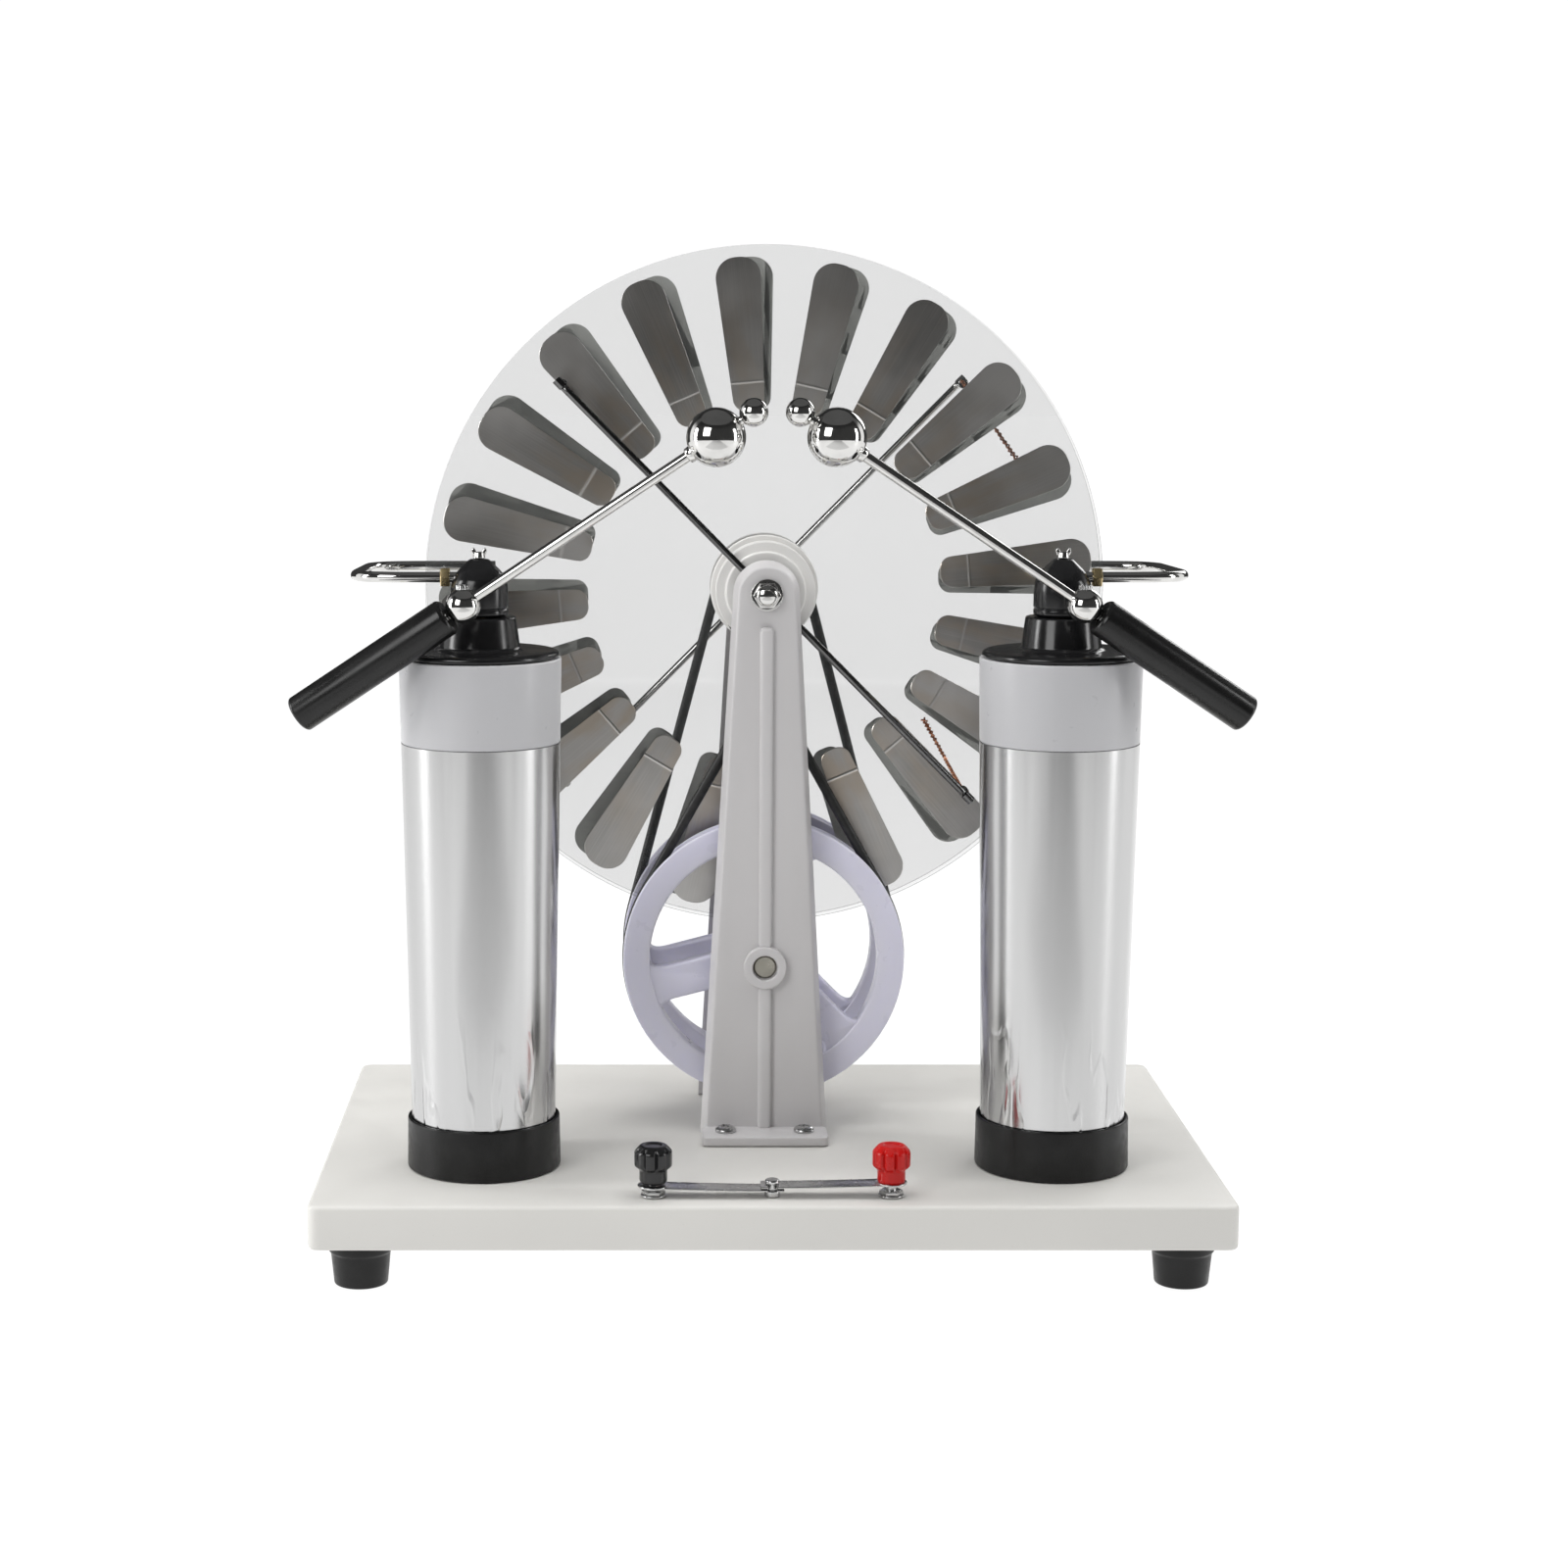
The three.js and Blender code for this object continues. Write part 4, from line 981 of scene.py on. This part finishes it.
# ---- belts
def belt(end):
    """A round belt over the pulley and under the wheel. The front one is crossed, and its runs
    bow apart where they pass."""
    crossed = end == "front"
    seat = 0.5
    pulley_pitch = PULLEY.groove + BELT.radius + seat
    wheel_pitch = WHEEL.groove + BELT.radius + seat
    span = AXLE.z - SHAFT.z
    reach = wheel_pitch + (pulley_pitch if crossed else -pulley_pitch)
    lean = math.degrees(math.asin(reach / span))
    if crossed:
        over = arc(pulley_pitch, -lean, 180 + lean, 60, middle=(0, AXLE.z))
        under = arc(wheel_pitch, lean, -180 - lean, 90, middle=(0, SHAFT.z))
    else:
        over = arc(pulley_pitch, lean, 180 - lean, 48, middle=(0, AXLE.z))
        under = arc(wheel_pitch, 180 - lean, 360 + lean, 80, middle=(0, SHAFT.z))
    bow = BELT.bow if crossed else 0.0
    peak = pulley_pitch / (pulley_pitch + wheel_pitch)

    def run(start, finish, lift, crest, steps=24):
        points = []
        for i in range(1, steps):
            t = i / steps
            rise = t / crest if t < crest else (1 - t) / (1 - crest)
            x, height = Vector(start).lerp(Vector(finish), t)
            points.append((x, height, BELT.out - lift * math.sin(math.pi / 2 * rise) ** 2))
        return points

    def flat(points):
        return [(x, height, BELT.out) for x, height in points]

    path = [
        *flat(over), *run(over[-1], under[0], bow, peak),
        *flat(under), *run(under[-1], over[0], -bow, 1 - peak),
    ]
    bm = bmesh.new()
    spots = [(x, -out, height) for x, height, out in path]
    sweep(bm, spots, BELT.radius, closed=True, place=half(end))
    rebuild(f"{end}_belt", bm, BELT_RUBBER)


# ---- neutralisers
# How far each rod's two brushes reach from their clips: towards the axle, and round the disc.
BRUSHES = {"front": ((-32.0, 9.0), (-9.0, 0.5)), "rear": ((-12.0, 9.0), (-6.6, 38.0))}


def neutraliser(end):
    """A rod through a clamp on the axle, with its ends turned in to hold the brushes."""
    n = NEUTRALISER
    bm = bmesh.new()
    place = facing(end, AXLE.z) @ Matrix.Rotation(math.radians(-n.angle), 4, "Z")
    bore = AXLE_RADIUS + GAP
    out, clip, clip_out = n.out, n.clip, n.clip_out
    hub_half, hub_radius = 2.2, 7.5
    clamp = tube(bore, hub_radius, out - hub_half, out + hub_half, 0.5)
    lathe(bm, clamp, place, segments=48)
    sleeve = tube(0, 2.1, clip_out - 2, clip_out + 4, 0.4)
    for way in (-1, 1):
        bend = [(way * (bore + 1), 0, out), (way * clip, 0, out), (way * clip, 0, clip_out)]
        sweep(bm, fillet(bend, 4, steps=6), n.rod, sides=14, place=place)
        tip = [(way * (clip - 1), 0, out), (way * n.reach, 0, out)]
        sweep(bm, tip, n.rod * 1.25, sides=14, place=place)
        lathe(bm, sleeve, place @ at(way * clip, 0, 0), segments=32)
    rebuild(f"{end}_neutraliser", bm, DARK_STEEL if end == "front" else CHROME)

    braid = bmesh.new()
    end_rise, belly_rise = 2.3, 3.2  # how far the brush keeps off the disc
    for way, (inwards, round_disc) in zip((1, -1), BRUSHES[end]):
        start = Vector((way * clip, 0, clip_out))
        finish = start + Vector((way * inwards, way * round_disc, 0))
        finish.z = DISC.outer + end_rise
        belly = start.lerp(finish, 0.35)
        belly.z = DISC.outer + belly_rise
        shoulder = start + Vector((0, 0, -3))
        twisted(braid, smooth_path([start, shoulder, belly, finish], steps=14), place)
    piece(f"{end}_brushes", braid, COPPER, BODY_OF[f"{end}_neutraliser"])


def twisted(bm, path, place, strands=3, strand_radius=0.42, lay=0.5, pitch=3.4):
    """Strands twisted together along a path, loosening at its far end."""
    lengths = [0.0]
    for a, b in zip(path, path[1:]):
        lengths.append(lengths[-1] + (b - a).length)
    for k in range(strands):
        points = []
        for i, point in enumerate(path):
            along = (path[min(i + 1, len(path) - 1)] - path[max(i - 1, 0)]).normalized()
            side = along.cross(Vector((0, 0.3, 1))).normalized()
            up = side.cross(along)
            angle = 2 * math.pi * (lengths[i] / pitch + k / strands)
            spread = lay * (1 + 1.2 * (i / (len(path) - 1)) ** 6)
            points.append(point + spread * (side * math.cos(angle) + up * math.sin(angle)))
        sweep(bm, points, strand_radius, sides=8, place=place)


# ---- Leyden jars
def jar_place(side):
    return on_board(f"{side}_jar_foot_ring")


def jar_radius(height):
    """The outside of the tapered jar, at a height above the board."""
    node = "left_outer_foil"
    return half_width(node) - JAR_TAPER * (levels(node)[1] - height)


def jar(side):
    """A cup that stands in a rubber ring, with foil round it up to a step and foil inside."""
    place = jar_place(side)
    foot_ring, outer_foil, cup = f"{side}_jar_foot_ring", f"{side}_outer_foil", f"{side}_jar_cup"
    ring_top, foil_top, cup_top = [levels(node)[1] for node in (foot_ring, outer_foil, cup)]
    wall, foil, floor_thickness = 2.0, 0.3, 3.0
    step = foil + GAP
    bottom = floor_thickness + GAP

    ring_radius = half_width(foot_ring)
    socket = jar_radius(ring_top) + GAP
    profile = [
        (0, GAP), (ring_radius, GAP), (ring_radius - 0.3, ring_top), (socket, ring_top),
        (socket, floor_thickness), (0, floor_thickness),
    ]
    turned(foot_ring, RUBBER, fillet(profile, 0.8), place, segments=128)

    heights = [bottom + (foil_top - floor_thickness - GAP) * k / 24 for k in range(25)]
    outside = [(jar_radius(z), z) for z in heights]
    profile = outside + [(radius - foil, z) for radius, z in reversed(outside)]
    turned(outer_foil, JAR_FOIL, profile, place, segments=160)

    def inside(height):
        return jar_radius(height) - step - wall

    profile = [
        (0, bottom), (jar_radius(bottom) - step, bottom),
        (jar_radius(foil_top) - step, foil_top + GAP), (jar_radius(foil_top), foil_top + GAP),
        (jar_radius(cup_top), cup_top), (inside(cup_top), cup_top),
        (inside(bottom + 3), bottom + 3), (0, bottom + 3),
    ]
    turned(cup, JAR_PLASTIC, fillet(profile, 0.6), place, segments=160)
    carry(f"{side}_inner_foil", JAR_FOIL)
    carry(f"{side}_contact_rod", BRASS)


def jar_lid(side):
    """A plug lid with a stepped rim and a tapered collar."""
    node = f"{side}_jar_lid"
    radius = half_width(node)
    plug, plug_depth, rim = 28.1, 5.0, 2.7
    collar_bottom, collar_top = 15.4, 13.9
    plug_end, collar_end = levels(node)
    bottom = plug_end + plug_depth
    top = bottom + rim
    bore = 2.3
    profile = [
        (bore, bottom - plug_depth), (plug, bottom - plug_depth), (plug, bottom), (radius, bottom),
        (radius, top - 0.9), (radius - 1.6, top), (collar_bottom + 1.5, top),
        (collar_bottom, top + 1.2), (collar_top, collar_end), (bore, collar_end),
    ]
    profile = fillet(profile, 0.7, closed=True)
    turned(node, BLACK_PLASTIC, profile, jar_place(side), segments=128)


def post(side):
    """The insulated head that carries the comb and the discharger, with a shoulder and a dome."""
    node = f"{side}_post"
    radius = 11.0
    bottom, top = levels(node)
    shoulder = top - 11.9
    bore, bore_depth = 1.8, 4.3
    profile = [
        (0, bottom), (radius - 0.7, bottom), (radius, bottom + 0.7), (radius, bottom + 2.4),
        (radius - 0.5, bottom + 2.9), (radius, bottom + 3.4), (radius, shoulder),
        (radius - 0.5, shoulder + 3.9), (radius - 2.7, shoulder + 7.4), (radius - 7.4, top),
        (bore, top), (bore, top - bore_depth), (0, top - bore_depth),
    ]
    turned(node, BLACK_PLASTIC, fillet(profile, 1.2), jar_place(side), segments=96)


def wing_screw(side):
    """A turned hub with two pressed wings."""
    bm = bmesh.new()
    node = f"{side}_wing_screw"
    place = jar_place(side)
    bottom, top = levels(node)
    wing_height = 4.3
    seat = top - wing_height
    hub, hub_height, stem = 2.4, 2.4, 1.5
    profile = [
        (0, bottom), (stem, bottom), (stem, seat), (hub, seat), (hub - 0.5, seat + hub_height),
        (0, seat + hub_height),
    ]
    lathe(bm, fillet(profile, 0.4), place, segments=32)
    spread = 0.7 * half_width(node)
    upright_plane = place @ at(0, 0, seat) @ Matrix.Rotation(math.pi / 2, 4, "X")
    for way in (-1, 1):
        wing = [
            (way * 0.4, 0.6), (way * hub, 0.8), (way * spread, 3.0),
            (way * (spread - 0.9), wing_height), (way * 0.9, 2.4),
        ]
        flat_part(bm, [fillet(wing, 0.9, closed=True)], 1.4, 0.4, upright_plane)
    rebuild(node, bm, CHROME)


def comb(side):
    """A rod that rounds the edge of both discs in a flat U, with collecting pins at its end."""
    bm = bmesh.new()
    node = f"{side}_comb"
    lo, hi = low(node), high(node)
    way = -1 if side == "left" else 1
    axis = centre(f"{side}_jar_foot_ring")
    radius = 2.1
    outer_x = max(abs(lo.x), abs(hi.x)) - radius
    inner_x = min(abs(lo.x), abs(hi.x))
    front_y, rear_y = axis.y, hi.y - radius
    front_z, droop = hi.z - radius, 2.5
    rear_z = front_z - droop
    corner = 21
    root = abs(axis.x) + 3
    path = fillet([
        (way * root, front_y, front_z), (way * outer_x, front_y, front_z),
        (way * outer_x, rear_y, rear_z), (way * inner_x, rear_y, rear_z),
    ], corner, steps=14)
    sweep(bm, path, radius, sides=20)
    pins, first, pitch, pin_radius, clearance = 3, 112.5, 9.0, 0.7, 2.5
    tip_y = AXLE.y + DISC.outer + clearance
    for k in range(pins):
        x = way * (first + pitch * k)
        pin = [(x, y, rear_z) for y in (rear_y, tip_y + 2, tip_y)]
        sweep(bm, pin, [pin_radius, pin_radius, 0.15], sides=12)
    rebuild(node, bm, CHROME)

    nut = bmesh.new()
    node = f"{side}_comb_nut"
    outlines = [hexagon(3.9), circle(radius + GAP, 24)]
    spot = Vector((centre(node).x, front_y, front_z))
    across = aimed(spot, Vector((way, 0, 0)))
    flat_part(nut, outlines, thickness=2 * half_width(node), edge=0.35, place=across)
    rebuild(node, nut, BRASS)


def front_point(side):
    """A pointed rod that reaches from the post towards the front disc."""
    bm = bmesh.new()
    node = f"{side}_front_point"
    lo, hi = low(node), high(node)
    spot = centre(node)
    radius, taper = 1.6, 6.0
    path = [(spot.x, lo.y, spot.z), (spot.x, hi.y - taper, spot.z), (spot.x, hi.y, spot.z)]
    sweep(bm, path, [radius, radius, 0.2], sides=20)
    rebuild(node, bm, BRASS)


# ---- spark dischargers
def discharger(side):
    """Worked out along the rod, from the middle of its pivot ball."""
    pivot = joint_at(f"{side}_discharger_tilt")
    handle = f"{side}_discharger_handle"
    along = (centre(f"{side}_discharger_rod") - centre(handle)).normalized()
    place = aimed(pivot, along)

    back, front = -50.0, BIG_BALL.at - BIG_BALL.radius + 5
    rod = tube(0, ROD_RADIUS, back, front, 0.4)
    turned(f"{side}_discharger_rod", CHROME, rod, place, segments=40)
    turned(f"{side}_spark_balls", CHROME, ball_profile(), place, segments=80, sharp=50)
    discharger_handle(handle, place)
    pivot_ball(side, pivot, place)


def ball_profile():
    """A ferrule, the big ball, a neck and the small ball, along the rod."""
    big, small, neck = BIG_BALL, SMALL_BALL, 1.7
    ferrule = 3.0
    start = big.at - math.sqrt(big.radius ** 2 - ferrule**2)
    seam = math.degrees(math.asin(neck / big.radius))
    first = math.degrees(math.asin(ferrule / big.radius))
    profile = [(0, start - 2.2), (ferrule - 0.5, start - 2.2), (ferrule, start - 1.7)]
    profile += ball_side(big, first, 180 - seam, 48)
    seam = math.degrees(math.asin(neck / small.radius))
    profile += ball_side(small, seam, 180, 32)
    profile[-1] = (0, profile[-1][1])
    return profile


def ball_side(ball, first, last, steps):
    """A ball's side as (radius, place along the rod), between two angles from its near pole."""
    angles = [math.radians(first + (last - first) * k / steps) for k in range(steps + 1)]
    radius, middle = ball.radius, ball.at
    return [(radius * math.sin(a), middle - radius * math.cos(a)) for a in angles]


def discharger_handle(node, place):
    """A plain round grip with a blind bore for the rod, and a shallow dish in its far end."""
    start, end, radius, bore_end = -6.9, -76.7, 7.2, -50.3
    bore = ROD_RADIUS + GAP
    profile = [
        (0, end + 0.5), (4.0, end + 0.5), (4.6, end), (radius - 0.9, end), (radius, end + 0.9),
        (radius, start - 1.2), (radius - 1, start), (bore, start), (bore, bore_end), (0, bore_end),
    ]
    turned(node, HANDLE_PLASTIC, fillet(profile, 0.5), place, segments=80)


def pivot_ball(side, pivot, place):
    """The ball that the rod passes through, its pin to the post and its set screw."""
    bm = bmesh.new()
    outline = arc(PIVOT_RADIUS, -90, 90, 40)
    outline[0] = (0, -PIVOT_RADIUS)
    outline[-1] = (0, PIVOT_RADIUS)
    lathe(bm, outline, place, segments=64)
    post_middle = centre(f"{side}_jar_foot_ring")
    to_post = Vector((post_middle.x - pivot.x, post_middle.y - pivot.y, 0)).normalized()
    pin_length, pin_radius, collar = 25.0, 2.2, 3.4
    pin = [
        (0, PIVOT_RADIUS - 2), (collar, PIVOT_RADIUS - 2), (collar, PIVOT_RADIUS + 0.8),
        (pin_radius, PIVOT_RADIUS + 1.6), (pin_radius, pin_length), (0, pin_length),
    ]
    lathe(bm, fillet(pin, 0.4), aimed(pivot, to_post), segments=40)
    rebuild(f"{side}_pivot_ball", bm, CHROME)

    screw = bmesh.new()
    top = PIVOT_RADIUS + 1.1
    screw_radius, socket, knurls = 2.5, 1.2, 20

    def ripple(radius, angle):
        return radius * (1 - 0.06 * abs(math.sin(knurls / 2 * angle))) if radius > 2 else radius

    head = [
        (0, PIVOT_RADIUS - 1), (screw_radius, PIVOT_RADIUS - 1), (screw_radius, top),
        (socket, top), (socket, top - 0.8), (0, top - 0.8),
    ]
    lathe(screw, fillet(head, 0.25), at(*pivot), segments=80, ripple=ripple)
    piece(f"{side}_pivot_screw", screw, STEEL, BODY_OF[f"{side}_pivot_ball"])


# ---- terminals and links
def terminal(colour, look):
    """A threaded stud with its nut, and a fluted cap."""
    stud = bmesh.new()
    node = f"{colour}_terminal_stud"
    place = on_board(node)
    stem, stem_top = 2.0, 16.0
    nut, nut_top = 4.5, 2.6
    washer, washer_top = 4.8, 1.0
    lathe(stud, tube(0, washer, GAP, washer_top, 0.25), place, segments=48)
    nut_place = place @ at(0, 0, (nut_top + washer_top) / 2)
    flat_part(stud, [hexagon(nut)], nut_top - washer_top, 0.3, nut_place)
    lathe(stud, tube(0, stem, washer_top, stem_top, 0.3), place, segments=32)
    rebuild(node, stud, STEEL)

    cap = bmesh.new()
    node = f"{colour}_terminal_cap"
    bottom, top = levels(node)
    radius, waist, waist_top = half_width(node), 5.3, 10.6
    bore, blind = 2.3, 16.3
    flutes = 9

    def ripple(r, angle):
        if r < waist + 0.5:
            return r
        groove = max(0.0, math.cos(flutes * angle)) ** 3
        return r - 1.1 * groove * (r - waist) / (radius - waist)

    profile = [
        (0, blind), (bore, blind), (bore, bottom), (waist - 0.6, bottom), (waist, bottom + 1),
        (waist, waist_top), (radius, waist_top + 1.6), (radius, top - 2.4), (radius - 2.2, top),
        (3.2, top), (2.8, top - 0.5), (0, top - 0.5),
    ]
    lathe(cap, fillet(profile, 0.7), place, segments=144, ripple=ripple)
    rebuild(node, cap, look, sharp=50)


def link_strip(side):
    """A thin strip that sags from its eye on a terminal to the slot on the middle stud."""
    bm = bmesh.new()
    node = f"{side}_link_strip"
    lo, hi = low(node), high(node)
    thickness = hi.z - lo.z
    way = -1 if side == "left" else 1
    eye = joint_at(f"{side}_link_turn")
    width, eye_radius, past_middle = 9.0, 6.0, 4.4
    end_x = -way * past_middle
    rest_z = (lo.z + hi.z) / 2
    lift = 1.0
    steps = 24
    outline = rectangle(-width / 2, -thickness / 2, width / 2, thickness / 2, 0.35, steps=2)

    def sag(x):
        return rest_z + lift * ((x - end_x) / (eye.x - end_x)) ** 2

    rings = []
    for k in range(steps + 1):
        x = eye.x + (end_x - eye.x) * k / steps
        rings.append([(x, eye.y + across, sag(x) + up) for across, up in outline])
    skin(bm, rings)
    cutter = bmesh.new()
    slot_half, post_half = 1.9, 2.3
    slot = rectangle(-slot_half, -width, slot_half, slot_half, 1.2)
    around_post = circle(post_half, 24, middle=(eye.x, 0))
    cut_heights = (rest_z - 3, rest_z + 4)
    for hole in (slot, around_post):
        skin(cutter, [[(x, eye.y + y, z) for x, y in hole] for z in cut_heights])
    strip = carve(bm, cutter)
    eye_shape = [circle(eye_radius, 72), circle(post_half, 24)]
    flat_part(strip, eye_shape, thickness, 0.25, at(eye.x, eye.y, rest_z + lift))
    rebuild(node, strip, STEEL)


def link_stud():
    """A stepped stud with a round head, between the two strips."""
    top = levels("link_stud")[1]
    profile = [
        (0, GAP), (3, GAP), (3, 2.6), (1.5, 2.6), (1.5, 5.2), (2.8, 5.2), (2.8, top - 0.5),
        (2.3, top), (0, top),
    ]
    turned("link_stud", STEEL, fillet(profile, 0.4), on_board("link_stud"), segments=48)


# ---- the machine
board()
for corner_foot in ("front_left", "front_right", "rear_left", "rear_right"):
    rubber_foot(f"foot_{corner_foot}")
for half_name in ("front", "rear"):
    upright(half_name)
    cap_nut(half_name)
    disc(half_name)
    sectors(half_name)
    pulley(half_name)
    drive_wheel(half_name)
    belt(half_name)
    neutraliser(half_name)
upper_axle()
drive_shaft()
crank()
for jar_side in ("left", "right"):
    jar(jar_side)
    jar_lid(jar_side)
    post(jar_side)
    wing_screw(jar_side)
    comb(jar_side)
    front_point(jar_side)
    discharger(jar_side)
    link_strip(jar_side)
terminal("black", BLACK_PLASTIC)
terminal("red", RED_PLASTIC)
link_stud()


# ---- stage, light and camera
def stage_sheet(name, first, last, colour, roughness):
    """A sheet that isn't part of the object, between two rows of points in metres."""
    count = len(first)
    faces = [(k, k + 1, count + k + 1, count + k) for k in range(count - 1)]
    mesh = bpy.data.meshes.new(name)
    mesh.from_pydata([*first, *last], [], faces)
    made = bpy.data.objects.new(name, mesh)
    bpy.context.scene.collection.objects.link(made)
    look = Look("board_paint", name, colour, roughness)
    look.tone(look.noise(3, 2), 0.985)
    mesh.materials.append(look.material)
    return made, look


def flat_rows(reach, front, back, height):
    """The front and back edges of a level sheet that reaches as far to the left as to the right."""
    return [[(-reach, y, height), (reach, y, height)] for y in (front, back)]


def floor():
    """A floor that glows as brightly as the world behind it."""
    reach = 12.0
    rows = flat_rows(reach, -reach, reach, 0)
    look = stage_sheet("floor", *rows, (0.12, 0.12, 0.12), 0.6)[1]
    look.feed("Emission Color", (1.0, 1.0, 1.0, 1.0))
    look.feed("Emission Strength", 0.94)


def dark_screen(name, first, last):
    """A dark cloth that curves round the machine, for the bright metal to reflect. Pictures from
    every side keep their white background, because no camera sees it."""
    radius, floor_gap, height = 1.9, 0.01, 2.4
    around = arc(radius, first, last, 40)
    bottom, top = [[(x, y, z) for x, y in around] for z in (floor_gap, height)]
    screen = stage_sheet(name, bottom, top, (0.03, 0.03, 0.03), 0.9)[0]
    screen.visible_camera = False


def dark_mat():
    """A narrow dark mat before the machine, which only shows as a band in its bright metal."""
    rows = flat_rows(0.4, front=-1.8, back=-0.4, height=0.002)
    mat = stage_sheet("dark_mat", *rows, (0.6, 0.6, 0.6), 0.9)[0]
    mat.visible_camera = False
    mat.visible_diffuse = False
    mat.visible_shadow = False


def studio_world():
    """White all round, and dim overhead."""
    world = bpy.data.worlds.new("studio")
    world.use_nodes = True
    tree = world.node_tree
    direction = tree.nodes.new("ShaderNodeTexCoord").outputs["Generated"]
    split = tree.nodes.new("ShaderNodeSeparateXYZ")
    tree.links.new(direction, split.inputs[0])
    fade = tree.nodes.new("ShaderNodeMapRange")
    fade.interpolation_type = "SMOOTHSTEP"
    for socket, value in (("From Min", 0.3), ("From Max", 0.6), ("To Min", 1.06), ("To Max", 0.1)):
        fade.inputs[socket].default_value = value
    tree.links.new(split.outputs["Z"], fade.inputs["Value"])
    background = tree.nodes["Background"]
    background.inputs["Color"].default_value = (1.0, 1.0, 1.0, 1.0)
    tree.links.new(fade.outputs[0], background.inputs["Strength"])
    bpy.context.scene.world = world


def softbox(name, place, width, height, power):
    """A rectangular light in watts that faces the object. No camera sees it."""
    aim = Vector((0, 0, 0.2))
    light = bpy.data.lights.new(name, "AREA")
    light.shape = "RECTANGLE"
    light.size = width
    light.size_y = height
    light.energy = power
    made = bpy.data.objects.new(name, light)
    made.location = place
    made.rotation_mode = "QUATERNION"
    made.rotation_quaternion = (aim - Vector(place)).to_track_quat("-Z", "Y")
    made.visible_camera = False
    bpy.context.scene.collection.objects.link(made)
    return made


def camera():
    """The camera that was fitted to the photograph."""
    data = bpy.data.cameras.new("camera")
    data.lens = 68.0
    data.sensor_width = 36.0
    data.shift_x = 0.084
    made = bpy.data.objects.new("camera", data)
    made.location = (-0.0454, -1.1812, 0.358)
    pitch = 8.65
    made.rotation_euler = (math.radians(90 - pitch), 0, 0)
    bpy.context.scene.collection.objects.link(made)
    bpy.context.scene.camera = made


floor()
dark_screen("front_screen", first=173, last=367)
dark_screen("rear_screen", first=30, last=150)
dark_mat()
studio_world()
softbox("key_softbox", (-0.84, -1.07, 0.83), width=0.65, height=0.75, power=7)
softbox("left_softbox", (-1.44, -0.13, 0.5), width=0.3, height=0.9, power=9)
softbox("right_softbox", (1.41, -0.35, 0.5), width=0.24, height=0.9, power=5)
softbox("rear_softbox", (0.84, 1.25, 0.83), width=0.5, height=0.6, power=4)
top_light = softbox("top_softbox", (0, 0.1, 1.9), width=2.4, height=2.2, power=50)
top_light.visible_glossy = False
camera()
bpy.context.scene.view_settings.view_transform = "Standard"
